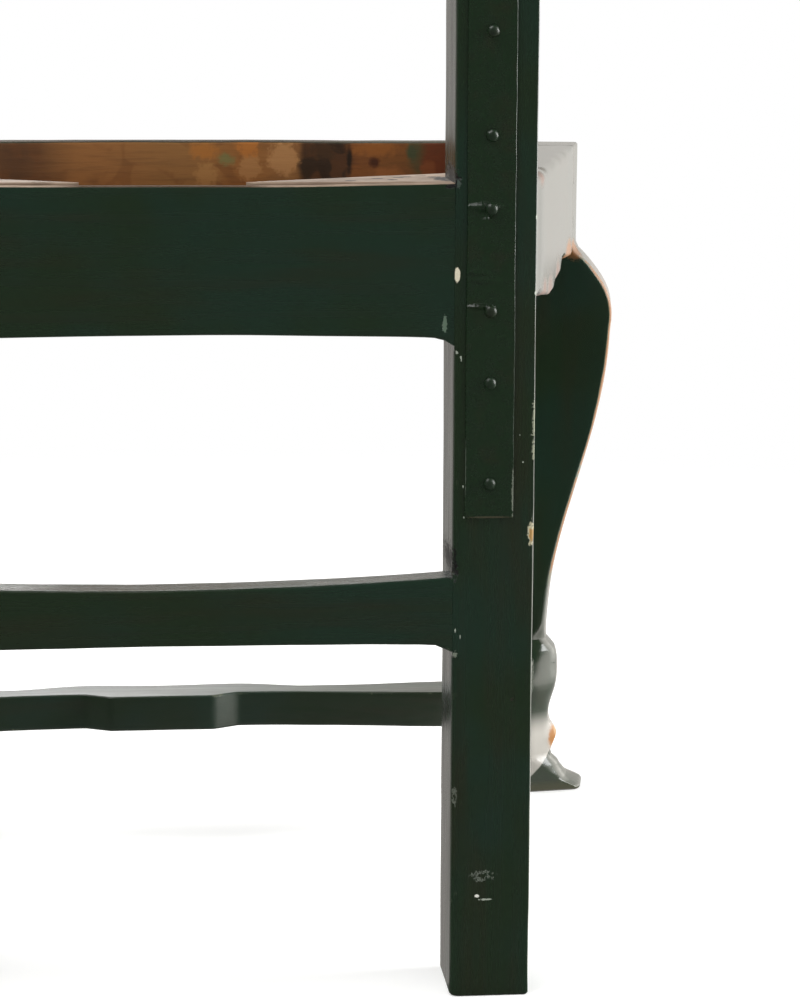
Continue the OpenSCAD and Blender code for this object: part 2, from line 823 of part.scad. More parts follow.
module lower_back_rail() {
    y = lean(back_rail_z) - back_rail_set;
    difference() {
        union() {
            along_y(y - back_rail_t, y)
                cross_rail_outline(back_rail_z, back_rail_z + back_rail_h, -back_rail_rise, back_rail_rise);
            for (m = [0, 1]) mirror([m, 0, 0]) back_rail_tenon(0);
        }
        splat_foot(joint_gap);
        for (m = [0, 1]) mirror([m, 0, 0]) back_rail_peg(peg_hole, cut_over);
    }
}

// The parts of the splat that stand in the lower back rail and the crest rail
module splat_foot(gap) {
    y = lean(back_rail_z) - back_rail_set - back_rail_t / 2;
    half = splat_w * splat_foot_share;
    thick = splat_t / 2 - splat_shoulder;
    block([-half - gap, y - thick - gap, splat_z - splat_let_in - gap],
          [half + gap, y + thick + gap, splat_z + 8]);
}

module splat_head(gap) {
    y = lean(crest_z + 4) - splat_set - splat_t / 2;
    half = splat_w * splat_head_share;
    thick = splat_t / 2 - splat_shoulder;
    block([-half - gap, y - thick - gap, crest_z - 4],
          [half + gap, y + thick + gap, crest_z + splat_let_in + 8 + gap]);
}

// Half width of the vase-shaped splat, from its foot at 0 to its head at 1
function vase(t) =
    t < 0.06 ? 0.30
    : t < 0.16 ? mix(0.30, 0.16, ease((t - 0.06) / 0.10))
    : t < 0.52 ? mix(0.16, 0.50, ease((t - 0.16) / 0.36))
    : t < 0.80 ? mix(0.50, 0.20, ease((t - 0.52) / 0.28))
    : mix(0.20, 0.44, ease((t - 0.80) / 0.20));

module splat() {
    n = 40;
    z0 = splat_z + back_rail_rise;
    z1 = crest_z;
    pts = [for (i = [0:n]) [vase(i / n) * splat_w, mix(z0, z1, i / n)]];
    intersection() {
        lean_strip(splat_set + splat_t, splat_set, z0 - 1, z1 + 1, splat_w);
        along_y(-60, rake_run + 60) polygon(concat(
            pts,
            [for (i = [n:-1:0]) [-pts[i][0], pts[i][1]]]
        ));
    }
    splat_foot(0);
    splat_head(0);
}

// Crest rail: raised middle, dipped shoulders and rounded ears over the posts
module crest_outline() {
    n = 24;
    dip = 34;
    ear_rise = 14;
    ear_drop = 44;
    dip_at = 0.42;
    ear_at = 0.76;
    arch_from = 0.35;
    arch_to = 0.72;
    function top(a) =
        a < dip_at ? dip * ease(a / dip_at)
        : a < ear_at ? dip - ear_rise * ease((a - dip_at) / (ear_at - dip_at))
        : dip - ear_rise + ear_drop * (1 - sqrt(max(0, 1 - pow((a - ear_at) / (1 - ear_at), 2))));
    function low(a) = crest_rise * ease((a - arch_from) / (arch_to - arch_from));
    // Places crowd towards the ends, where the ears turn down
    shares = [for (i = [-n:n]) sin(90 * i / n)];
    polygon(concat(
        [for (a = shares) [crest_half * a, crest_z + low(abs(a))]],
        [for (i = [2 * n:-1:0]) [crest_half * shares[i], chair_h - top(abs(shares[i]))]]
    ));
}

module crest_rail() {
    difference() {
        intersection() {
            lean_strip(crest_t, 0, crest_z - 2, chair_h, crest_half + 1);
            along_y(-60, rake_run + 60) crest_outline();
        }
        for (m = [0, 1]) mirror([m, 0, 0]) {
            post_tenon(joint_gap);
            crest_peg(peg_hole, cut_over);
        }
        splat_head(joint_gap);
    }
}

// Front corner block, fitted round the stile and under the seat
module corner_block() {
    translate([0, 0, ledge_z - seat_drop]) linear_extrude(seat_drop) difference() {
        polygon([
            corner_point(-stile - block_leg, front_rail_t - block_lap),
            corner_point(-stile, front_rail_t - block_lap),
            corner_point(-stile, stile),
            corner_point(-side_rail_t, stile),
            corner_point(-side_rail_t, stile + block_leg),
            corner_point(-stile - block_leg, front_rail_t + block_step)
        ]);
        translate([0, bow_y]) difference() {
            circle(r = bow_r + stile, $fn = 360);
            circle(r = bow_r - front_rail_t, $fn = 360);
        }
    }
}

// Rear corner board, on the ledge between post and rails with its top flush with the rails
module corner_board_plan() {
    inner_end = corner_point(-side_rail_t, run_to(-post_d, -side_rail_t));
    side_x = inner_end[0] + board_side_in;
    side_y = -rear_lip_t - board_slope * (side_x - board_start);
    side = corner_point(-side_rail_t, run_to(side_y, -side_rail_t));
    polygon([
        [board_start, -rear_lip_t],
        [post_in, -rear_lip_t],
        [post_in, -post_d],
        inner_end,
        side,
        [side[0] - board_lap, side[1]]
    ]);
}

module corner_board() {
    difference() {
        translate([0, 0, ledge_z]) linear_extrude(seat_drop) corner_board_plan();
        board_nail_rods(nail_hole, cut_over);
    }
}

module board_nail_rods(d, over = 0) {
    for (x = board_nail_xs)
        translate([x, -(rear_lip_t + rear_rail_t) / 2, ledge_z - board_nail_deep])
            cylinder(h = seat_drop + board_nail_deep + over, d = d);
}

// Seat cleats: straight ones on the side rails and a curved one on the front rail
module side_cleat() {
    difference() {
        at_corner() block([-side_rail_t - cleat, side_cleat_from, ledge_z - cleat],
                          [-side_rail_t, side_cleat_to, ledge_z]);
        side_cleat_nail_rods(nail_hole, cut_over);
    }
}

module side_cleat_nail_rods(d, over = 0) {
    for (t = side_cleat_nails)
        at_corner() rod_x(-side_rail_t - cleat - over, -side_rail_t + cleat_nail_deep,
                          mix(side_cleat_from, side_cleat_to, t), ledge_z - cleat / 2, d);
}

module front_cleat() {
    difference() {
        intersection() {
            bow_band(front_rail_t, front_rail_t + cleat, ledge_z - cleat, ledge_z);
            block([-front_cleat_half, bow_front, ledge_z - cleat],
                  [front_cleat_half, bow_front + 4 * front_rail_t, ledge_z]);
        }
        front_cleat_nail_rods(nail_hole, cut_over);
    }
}

module front_cleat_nail_rods(d, over = 0) {
    face = front_rail_t - bow_r;
    for (a = front_nail_angles)
        translate([0, bow_y, 0]) rotate([0, 0, a])
            rod_y(0, face - cleat_nail_deep, face + cleat + over, ledge_z - cleat / 2, d);
}

// Iron strap on the back of a post, and its domed nails
module strap_nail_rods(d) {
    for (z = nail_zs) rod_y(strap_x, -nail_len, strap_t + 1, z, d);
}

module iron_strap() {
    difference() {
        block([strap_x - strap_w / 2, 0, strap_mid - strap_len / 2],
              [strap_x + strap_w / 2, strap_t, strap_mid + strap_len / 2]);
        strap_nail_rods(strap_hole);
    }
}

module strap_nails() {
    dome_h = nail_head_d * nail_dome;
    dome_r = (pow(nail_head_d / 2, 2) + pow(dome_h, 2)) / (2 * dome_h);
    for (z = nail_zs) {
        rod_y(strap_x, -nail_len + 0.5, strap_t, z, nail_shank_d);
        intersection() {
            translate([strap_x, strap_t + dome_h - dome_r, z]) sphere(r = dome_r);
            rod_y(strap_x, strap_t, strap_t + dome_h + 1, z, nail_head_d + 2);
        }
    }
}

// Pegs and nails of both sides, each kind as one group
module both() {
    children();
    mirror([1, 0, 0]) children();
}

module seat_rail_pegs() {
    both() {
        leg_side_pegs(peg_d);
        leg_front_pegs(peg_d);
        post_side_pegs(peg_d);
        rear_rail_pegs(peg_d);
    }
}

module stretcher_pegs() {
    both() {
        rear_stretcher_peg(peg_d);
        side_stretcher_pegs_at(peg_d);
        middle_stretcher_peg(peg_d);
    }
}

module back_pegs() {
    both() {
        back_rail_peg(peg_d);
        crest_peg(peg_d);
    }
}

module cleat_nails() {
    front_cleat_nail_rods(shank_d);
    both() side_cleat_nail_rods(shank_d);
}

module board_nails() {
    both() board_nail_rods(shank_d);
}

color(paint) chair() right() rear_post();  // rear_post_right
color(paint) chair() rear_post();  // rear_post_left
color(paint) chair() rear_rail();
color(paint) chair() front_rail();
color(paint) chair() right() side_rail();  // side_rail_right
color(paint) chair() side_rail();  // side_rail_left
color(paint) chair() right() front_leg();  // front_leg_right
color(paint) chair() front_leg();  // front_leg_left
color(paint) chair() right() knee_bracket();  // knee_bracket_right
color(paint) chair() knee_bracket();  // knee_bracket_left
color(paint) chair() rear_stretcher();
color(paint) chair() right() side_stretcher();  // side_stretcher_right
color(paint) chair() side_stretcher();  // side_stretcher_left
color(paint) chair() middle_stretcher();
color(paint) chair() lower_back_rail();
color(paint) chair() splat();
color(paint) chair() crest_rail();
color(bare_wood) chair() right() corner_block();  // corner_block_right
color(bare_wood) chair() corner_block();  // corner_block_left
color(paint) chair() right() corner_board();  // corner_board_right
color(paint) chair() corner_board();  // corner_board_left
color(bare_wood) chair() front_cleat();  // seat_cleat_front
color(bare_wood) chair() right() side_cleat();  // seat_cleat_right
color(bare_wood) chair() side_cleat();  // seat_cleat_left
color(old_iron) chair() right() iron_strap();  // iron_strap_right
color(old_iron) chair() iron_strap();  // iron_strap_left
color(old_iron) chair() right() strap_nails();  // strap_nails_right
color(old_iron) chair() strap_nails();  // strap_nails_left
color(bare_wood) chair() seat_rail_pegs();
color(bare_wood) chair() stretcher_pegs();
color(bare_wood) chair() back_pegs();
color(old_iron) chair() cleat_nails();
color(old_iron) chair() board_nails();
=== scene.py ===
"""Painted high-back side chair: aged green paint, worn edges, bare inner wood and hand-forged ironwork.

The CAD frame gives every size. Each wooden member is cut into cross-sections, its arrises are eased
as handwork leaves them, and the sections are lofted again as one slightly uneven skin.
Lengths are in millimetres, but in metres for lamps, surroundings and shader graphs.
Colours of three numbers are 0-255 screen values, those of four are linear.
"""

import math

import bpy
import numpy as np
from mathutils import Matrix, Vector, noise


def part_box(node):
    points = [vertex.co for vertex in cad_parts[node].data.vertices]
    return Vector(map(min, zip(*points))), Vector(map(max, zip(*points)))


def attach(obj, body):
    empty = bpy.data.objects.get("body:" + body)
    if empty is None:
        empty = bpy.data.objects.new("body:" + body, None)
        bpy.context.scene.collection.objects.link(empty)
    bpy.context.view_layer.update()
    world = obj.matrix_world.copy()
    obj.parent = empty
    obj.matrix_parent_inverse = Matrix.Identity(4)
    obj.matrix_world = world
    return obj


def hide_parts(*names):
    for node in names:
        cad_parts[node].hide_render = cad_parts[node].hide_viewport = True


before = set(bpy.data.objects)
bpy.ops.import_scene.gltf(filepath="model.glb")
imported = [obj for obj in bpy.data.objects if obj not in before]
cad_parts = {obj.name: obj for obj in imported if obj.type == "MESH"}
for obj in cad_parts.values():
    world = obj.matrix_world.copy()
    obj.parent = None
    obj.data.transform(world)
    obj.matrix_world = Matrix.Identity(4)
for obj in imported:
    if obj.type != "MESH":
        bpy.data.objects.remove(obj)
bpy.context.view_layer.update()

MM = 0.001
SIDES = {"right": -1.0, "left": 1.0}

# Camera: distances in millimetres, angles in degrees

CAMERA_X = 18.82
CAMERA_BEHIND_POSTS = 1458.47
CAMERA_Z = 521.31
CAMERA_YAW = 5.428
CAMERA_PITCH = 9.811
CAMERA_ROLL = 0.226
CAMERA_LENS = 104.17
SENSOR = 36.0

# Light and surroundings in metres. Levels of the mirrored surround rise between two cosines of the
# angle to AHEAD or RIGHT, from nothing to full or between the two levels that follow.

WHITE = (1.0, 1.0, 1.0, 1.0)
WARM_WHITE = (1.0, 0.945, 0.895, 1.0)
ROOM = (0.62, 0.62, 0.62, 1.0)
FLOOR_GREY = (0.80, 0.80, 0.79, 1.0)
FLOOR_HALF = 9.0
FLOOR_GLOW = 0.30
FLOOR_CLEAR = (0.7, 1.7)
NEAR_POST = (-0.15, 0.17, 0.0)
AHEAD = (0.0, -1.0, 0.0)
RIGHT = (-1.0, 0.0, 0.0)
WHITE_AHEAD = (0.15, 0.75)
WHITE_ACROSS = (-0.15, 0.30, 0.37, 0.98)
WINDOW_AHEAD = (-0.12, 0.16)
WINDOW_ACROSS = (0.45, 0.85, 0.0, 4.1)
BEHIND = 0.14

# Lamps: place, aim, width and height, watts

LAMPS = {
    "side_light": ((-2.3, 0.25, 0.9), (0.0, 0.0, 0.4), (1.0, 1.5), 62.0),
    "high_light": ((1.2, 0.6, 2.9), (0.0, 0.0, 0.4), (1.8, 1.8), 60.0),
    "front_light": ((0.6, -2.8, 1.7), (0.0, 0.0, 0.5), (1.6, 1.4), 40.0),
}


def linear(colour):
    """The linear colour a shader takes, from 0-255 screen values."""
    return tuple(
        v / 12.92 if v <= 0.04045 else ((v + 0.055) / 1.055) ** 2.4 for v in (c / 255 for c in colour)
    )


def unit(value):
    """The value kept between 0 and 1."""
    return min(1.0, max(0.0, value))


def curve(at, places, values):
    """The value at a place, read between values given at places and level beyond them."""
    return float(np.interp(at, places, values))


def add_object(name, data):
    made = bpy.data.objects.new(name, data)
    bpy.context.scene.collection.objects.link(made)
    return made


def add_mesh(name, points, faces, materials):
    """A new mesh object, its points given in millimetres."""
    mesh = bpy.data.meshes.new(name)
    mesh.from_pydata((np.asarray(points) * MM).tolist(), [], faces)
    for material in materials:
        mesh.materials.append(material)
    return add_object(name, mesh)


def make_camera():
    yaw, pitch, roll = (math.radians(a) for a in (CAMERA_YAW, CAMERA_PITCH, CAMERA_ROLL))
    post_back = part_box("rear_rail")[1].y
    look = Vector((-math.sin(yaw) * math.cos(pitch), -math.cos(yaw) * math.cos(pitch), -math.sin(pitch)))
    level = Vector((-math.cos(yaw), math.sin(yaw), 0.0))
    upright = level.cross(look)
    across = level * math.cos(roll) + upright * math.sin(roll)
    up = upright * math.cos(roll) - level * math.sin(roll)
    data = bpy.data.cameras.new("view_camera")
    data.sensor_width = SENSOR
    data.lens = CAMERA_LENS
    camera = add_object("view_camera", data)
    place = Matrix((across, up, -look)).transposed().to_4x4()
    place.translation = (CAMERA_X * MM, post_back + CAMERA_BEHIND_POSTS * MM, CAMERA_Z * MM)
    camera.matrix_world = place
    bpy.context.scene.camera = camera


class Graph:
    """Builds a node tree. Each call returns the output of what it makes, but node returns the node."""

    def __init__(self, tree):
        self.tree = tree
        tree.nodes.clear()

    def node(self, kind, inputs=(), **settings):
        """A new node with its settings. Inputs are given in order, or by name or number."""
        made = self.tree.nodes.new(kind)
        for name, value in settings.items():
            setattr(made, name, value)
        for socket, value in inputs.items() if isinstance(inputs, dict) else enumerate(inputs):
            self.put(made.inputs[socket], value)
        return made

    def put(self, socket, value):
        if isinstance(value, bpy.types.NodeSocket):
            self.tree.links.new(value, socket)
        elif socket.type == "RGBA" and len(value) == 3:
            socket.default_value = (*linear(value), 1.0)
        else:
            socket.default_value = value

    def first(self, kind, inputs=(), **settings):
        return self.node(kind, inputs, **settings).outputs[0]

    def math(self, operation, *values):
        return self.first("ShaderNodeMath", values, operation=operation)

    def plus(self, value, other):
        return self.math("ADD", value, other)

    def minus(self, value, other):
        return self.math("SUBTRACT", value, other)

    def times(self, value, *others):
        for other in others:
            value = self.math("MULTIPLY", value, other)
        return value

    def vector(self, operation, *values):
        made = self.node("ShaderNodeVectorMath", values, operation=operation)
        return made.outputs["Value"] if operation in ("LENGTH", "DOT_PRODUCT") else made.outputs[0]

    def split(self, vector):
        return self.node("ShaderNodeSeparateXYZ", (vector,)).outputs

    def mix(self, factor, under, over, blend="MIX"):
        colours = {0: factor, 6: under, 7: over}
        return self.node("ShaderNodeMix", colours, data_type="RGBA", blend_type=blend).outputs[2]

    def noise(self, where, scale, detail, rough, distort=0.0):
        inputs = {"Vector": where, "Scale": scale, "Detail": detail, "Roughness": rough}
        return self.node("ShaderNodeTexNoise", {**inputs, "Distortion": distort}).outputs["Fac"]

    def ramp(self, value, stops):
        """Colour along stops, each a place from 0 to 1 and a colour."""
        made = self.node("ShaderNodeValToRGB", (value,))
        made.color_ramp.interpolation = "EASE"
        elements = made.color_ramp.elements
        elements[0].position, elements[-1].position = stops[0][0], stops[-1][0]
        for place, _ in stops[1:-1]:
            elements.new(place)
        for element, (_, colour) in zip(elements, stops):
            element.color = (*linear(colour), 1.0)
        return made.outputs[0]

    def step(self, value, low, high, out_low=0.0, out_high=1.0):
        """Smooth rise from out_low to out_high as value goes from low to high."""
        inputs = (value, low, high, out_low, out_high)
        return self.first("ShaderNodeMapRange", inputs, interpolation_type="SMOOTHSTEP")

    def band(self, value, rise, fall):
        """1 between a rise and a fall, each two values to go from 0 to 1 between."""
        return self.times(self.step(value, *rise), self.step(value, *fall))

    def coordinate(self, kind):
        return self.node("ShaderNodeTexCoord").outputs[kind]

    def places(self, *shift):
        """The place on an object, and the same shifted to read noises from."""
        place = self.coordinate("Object")
        return place, self.vector("ADD", place, shift)

    def edge_wear(self):
        """The attribute that a loft lays on its points: 1 on an arris, 0 on a flat face."""
        return self.node("ShaderNodeAttribute", attribute_name="edge").outputs["Fac"]

    def emission(self, colour, strength=1.0):
        return self.first("ShaderNodeEmission", {"Color": colour, "Strength": strength})

    def blend(self, factor, shader, other):
        return self.first("ShaderNodeMixShader", (factor, shader, other))


def surround(g, direction):
    """What glossy paint mirrors: dim behind the camera, white ahead, a bright window at the right."""
    ahead = g.vector("DOT_PRODUCT", direction, AHEAD)
    right = g.vector("DOT_PRODUCT", direction, RIGHT)
    white = g.times(g.step(ahead, *WHITE_AHEAD), g.step(right, *WHITE_ACROSS))
    window = g.times(g.step(right, *WINDOW_ACROSS), g.step(ahead, *WINDOW_AHEAD))
    total = g.plus(g.plus(white, window), BEHIND)
    return g.mix(1.0, WARM_WHITE, total, "MULTIPLY")


def make_world():
    """White behind the object, with the mirrored surround for glossy rays."""
    world = bpy.data.worlds.new("studio")
    bpy.context.scene.world = world
    world.use_nodes = True
    g = Graph(world.node_tree)
    ray = g.node("ShaderNodeLightPath").outputs
    seen = g.mix(ray["Is Glossy Ray"], ROOM, surround(g, g.coordinate("Generated")))
    seen = g.mix(ray["Is Camera Ray"], seen, WHITE)
    seen = g.mix(ray["Is Transmission Ray"], seen, WHITE)
    back = g.first("ShaderNodeBackground", {"Color": seen, "Strength": 1.0})
    g.node("ShaderNodeOutputWorld", {"Surface": back})


def start_material(name):
    material = bpy.data.materials.new(name)
    material.use_nodes = True
    return material, Graph(material.node_tree)


def make_floor():
    """A pale floor that fades to white far out and gives glossy rays the surround by their bearing."""
    material, g = start_material("pale_floor")
    ray = g.node("ShaderNodeLightPath").outputs
    where = g.coordinate("Object")
    bearing = g.vector("NORMALIZE", g.vector("SUBTRACT", where, NEAR_POST))
    diffuse = g.first("ShaderNodeBsdfDiffuse", {"Color": FLOOR_GREY})
    lit = g.first("ShaderNodeAddShader", (diffuse, g.emission(WHITE, FLOOR_GLOW)))
    far = g.blend(g.step(g.vector("LENGTH", where), *FLOOR_CLEAR), lit, g.emission(WHITE))
    plain = g.blend(ray["Is Camera Ray"], diffuse, far)
    whole = g.blend(ray["Is Glossy Ray"], plain, g.emission(surround(g, bearing)))
    g.node("ShaderNodeOutputMaterial", {"Surface": whole})
    half = FLOOR_HALF / MM
    corners = [(-half, -half, 0), (half, -half, 0), (half, half, 0), (-half, half, 0)]
    floor = add_mesh("floor", corners, [(0, 1, 2, 3)], [material])


def make_lights():
    for name, (place, aim, size, watts) in LAMPS.items():
        data = bpy.data.lights.new(name, "AREA")
        data.shape = "RECTANGLE"
        data.size, data.size_y = size
        data.energy = watts
        lamp = add_object(name, data)
        lamp.location = place
        lamp.rotation_mode = "QUATERNION"
        lamp.rotation_quaternion = (Vector(aim) - Vector(place)).to_track_quat("-Z", "Y")


# Cross-sections and lofts. A ring has TURNS points on its corners and three on each side, the outer
# ones EDGE_GAP from its ends.

TURNS = 24
EDGE_GAP = 2.6
STRAIGHT_WITHIN = 0.03
SHORTEST_SIDE = 1e-6
SMALLEST_EASING = 0.05
EASING_CUT = 0.6
RUB_STEPS = 13
RUB_LEAST = 0.1

# Stations stay END_INSIDE off a solid's ends. Where the area changes by more than the share SUDDEN,
# the place is found by halving and gets a station PAIR_HALF to either side.

END_INSIDE = 0.02
SUDDEN = 0.16
HALVINGS = 14
PAIR_HALF = 0.03

# A member between posts is cut up to SEEN_INSIDE off the posts. Past their faces its skin goes on
# from TENON_FROM to HIDDEN_RUN, sunk by DIVE, and its unevenness fades over RAIL_END_HELD before them.

SEEN_INSIDE = 0.1
TENON_FROM = 0.4
HIDDEN_RUN = 2.0
DIVE_FROM = 0.3
DIVE = 0.8
RAIL_END_HELD = 25.0

# Handwork: the easing drifts along a member, and its faces have bumps and smaller ripples

EASING_DRIFT = 0.35
EASING_DRIFT_RUN = 37.0
END_EASED = 0.8
BUMP = 70.0
RIPPLE = 18.0
RIPPLE_SHARE = 0.35
RIPPLE_SEED = 5
SEED_SHIFT = (7.3, 3.1, 1.7)
SHADING_WEIGHT = 60


def node_arrays(name):
    """Corner points in millimetres and triangles of a CAD node."""
    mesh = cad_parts[name].data
    mesh.calc_loop_triangles()
    points = np.array([vertex.co for vertex in mesh.vertices], float) / MM
    return points, np.array([triangle.vertices for triangle in mesh.loop_triangles])


def convex_outline(flat):
    """Corner points of the convex hull of flat points, anticlockwise, without points along its sides."""
    order = flat[np.lexsort((flat[:, 1], flat[:, 0]))]

    def turn(a, b, p):
        return (b[0] - a[0]) * (p[1] - a[1]) - (b[1] - a[1]) * (p[0] - a[0])

    def chain(points):
        kept = []
        for p in points:
            while len(kept) > 1 and turn(kept[-2], kept[-1], p) <= 0:
                kept.pop()
            kept.append(p)
        return kept[:-1]

    hull = chain(order) + chain(order[::-1])
    count = len(hull)

    def height(a, b, p):
        return turn(a, b, p) / max(1e-9, math.hypot(p[0] - a[0], p[1] - a[1]))

    first = max(range(count), key=lambda i: height(hull[i - 1], hull[i], hull[(i + 1) % count]))
    corners = [hull[first]]
    for step in range(1, count):
        b, p = hull[(first + step) % count], hull[(first + step + 1) % count]
        if height(corners[-1], b, p) > STRAIGHT_WITHIN:
            corners.append(b)
    return np.array(corners)


def section(solid, axes, station):
    """The convex outline where the plane at a station cuts the solid, in the two cross axes."""
    points, triangles = solid
    along, across, up = axes
    height = (points @ along - station)[triangles]
    cuts = []
    for i, j in ((0, 1), (1, 2), (2, 0)):
        crossing = (height[:, i] < 0) != (height[:, j] < 0)
        share = height[crossing, i] / (height[crossing, i] - height[crossing, j])
        start = points[triangles[crossing, i]]
        cuts.append(start + share[:, None] * (points[triangles[crossing, j]] - start))
    found = np.vstack(cuts)
    return convex_outline(np.column_stack((found @ across, found @ up)))


def area_of(outline):
    x, y = outline[:, 0], outline[:, 1]
    return 0.5 * abs(np.dot(x, np.roll(y, -1)) - np.dot(y, np.roll(x, -1)))


def inset(outline, depth):
    """The outline moved inwards by depth on every side, or None if nothing is left of it."""
    kept = [tuple(p) for p in outline]
    for a, b in zip(outline, np.roll(outline, -1, axis=0)):
        length = math.hypot(*(b - a))
        if length < SHORTEST_SIDE:
            continue
        nx, ny = -(b[1] - a[1]) / length, (b[0] - a[0]) / length
        level = nx * a[0] + ny * a[1] + depth
        clipped = []
        for k, p in enumerate(kept):
            q = kept[(k + 1) % len(kept)]
            dp = nx * p[0] + ny * p[1] - level
            dq = nx * q[0] + ny * q[1] - level
            if dp >= 0:
                clipped.append(p)
            if (dp >= 0) != (dq >= 0):
                t = dp / (dp - dq)
                clipped.append((p[0] + t * (q[0] - p[0]), p[1] + t * (q[1] - p[1])))
        if len(clipped) < 3:
            return None
        kept = clipped
    return np.array(kept)


def along_side(start, end):
    """Three points on a side of a ring, one near each end and one in the middle."""
    gap = math.hypot(*(end - start))
    step = min(EDGE_GAP, gap / 4) / max(gap, 1e-9)
    return [start + (end - start) * share for share in (step, 0.5, 1 - step)]


def rounded_ring(outline, radii, faces):
    """Ring points of an outline with eased corners, each with 1 on an arris and 0 on a flat face.

    radii gives the easing of each corner, anticlockwise from the corner towards both cross axes.
    """
    cores = {}
    for radius in set(radii):
        eased = radius
        core = inset(outline, eased)
        while core is None and eased > SMALLEST_EASING:
            eased *= EASING_CUT
            core = inset(outline, eased)
        cores[radius] = (outline, 0.0) if core is None else (core, eased)
    turns = TURNS // faces
    arc, sharp = [], []
    for k in range(TURNS):
        core, eased = cores[radii[k // turns % len(radii)]]
        angle = (k + 0.5) * 2 * math.pi / TURNS
        outward = np.array((math.cos(angle), math.sin(angle)))
        arc.append(core[np.argmax(core @ outward)] + outward * eased)
        sharp.append(min(1.0, eased))
    ring, edge = [], []
    for k in range(TURNS):
        here, there = arc[k], arc[(k + 1) % TURNS]
        ring.append(here)
        edge.append(sharp[k])
        if (k + 1) % turns == 0:
            ring += along_side(here, there)
            edge += [0.0 if math.hypot(*(there - here)) > 2 * EDGE_GAP else sharp[k]] * 3
    return np.array(ring), np.array(edge)


def stations_of(solid, axes, spacing, lead):
    """Places along the axis for sections: even steps, and a close pair at each sudden change."""
    reach = solid[0] @ axes[0]
    low, high = reach.min() + END_INSIDE, reach.max() - END_INSIDE
    count = max(2, int(round((high - low) / spacing)))
    even = sorted([*np.linspace(low, high, count + 1), low + lead, high - lead])
    areas = {s: area_of(section(solid, axes, s)) for s in even}
    extra = []
    for a, b in zip(even, even[1:]):
        if abs(areas[a] - areas[b]) < SUDDEN * max(areas[a], areas[b]):
            continue
        start, end, target = a, b, 0.5 * (areas[a] + areas[b])
        for _ in range(HALVINGS):
            middle = 0.5 * (start + end)
            if (area_of(section(solid, axes, middle)) > target) == (areas[a] > target):
                start = middle
            else:
                end = middle
        extra += [start - PAIR_HALF, end + PAIR_HALF]
    return sorted(even + extra)


def uneven(point, size, amount, seed):
    """A smooth random shift at a point, size the width of a bump in millimetres."""
    return amount * noise.noise(Vector(point) / size + Vector([seed * shift for shift in SEED_SHIFT]))


def ring_sides(rings, size, start=0):
    """The two point numbers of each side of rings of points that are numbered on from start."""
    firsts = range(start, start + rings * size, size)
    return [(first + k, first + (k + 1) % size) for first in firsts for k in range(size)]


def loft(name, rings, edges, materials, pick=None):
    """One closed skin through rings of points in millimetres, with the edge wear attribute."""
    size = len(rings[0])
    faces = [(a, b, b + size, a + size) for a, b in ring_sides(len(rings) - 1, size)]
    faces.append(tuple(reversed(range(size))))
    faces.append(tuple(range((len(rings) - 1) * size, len(rings) * size)))
    piece = add_mesh(name, np.vstack(rings), faces, materials)
    wear = piece.data.attributes.new("edge", "FLOAT", "POINT")
    wear.data.foreach_set("value", np.concatenate(edges).astype(np.float32))
    for polygon in piece.data.polygons:
        polygon.use_smooth = True
        if pick:
            polygon.material_index = pick(polygon)
    piece.modifiers.new("even_shading", "WEIGHTED_NORMAL").weight = SHADING_WEIGHT
    return piece


def place_piece(piece, slot, *nodes):
    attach(piece, "root")
    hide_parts(*nodes)


def axes_along(axis, turn=0.0):
    """Unit vectors: the axis, then two across it, turned about a vertical axis by turn degrees."""
    c, s = math.cos(math.radians(turn)), math.sin(math.radians(turn))
    x, y, z = np.array((c, s, 0.0)), np.array((-s, c, 0.0)), np.array((0.0, 0.0, 1.0))
    return {"x": (x, y, z), "y": (y, z, x), "z": (z, x, y)}[axis]


def soften(rings, places, share, passes):
    """Rounds the carving: each ring moves share(station) of the way to between its neighbours."""
    for _ in range(passes):
        before = [ring.copy() for ring in rings]
        for i in range(1, len(rings) - 1):
            t = (places[i] - places[i - 1]) / max(1e-6, places[i + 1] - places[i - 1])
            between = before[i - 1] * (1 - t) + before[i + 1] * t
            rings[i] = before[i] + (between - before[i]) * share(places[i])


def rub_round(ring, spread):
    """Rounds a ring as long rubbing does: a running mean along it over spread millimetres each way."""
    closed = np.vstack([ring, ring[:1]])
    along = np.concatenate([[0.0], np.cumsum(np.hypot(*np.diff(closed, axis=0).T))])
    rubbed = np.zeros_like(ring)
    for shift in np.linspace(-spread, spread, RUB_STEPS):
        at = (along[:-1] + shift) % along[-1]
        rubbed += np.stack([np.interp(at, along, closed[:, k]) for k in (0, 1)], axis=1)
    return rubbed / RUB_STEPS


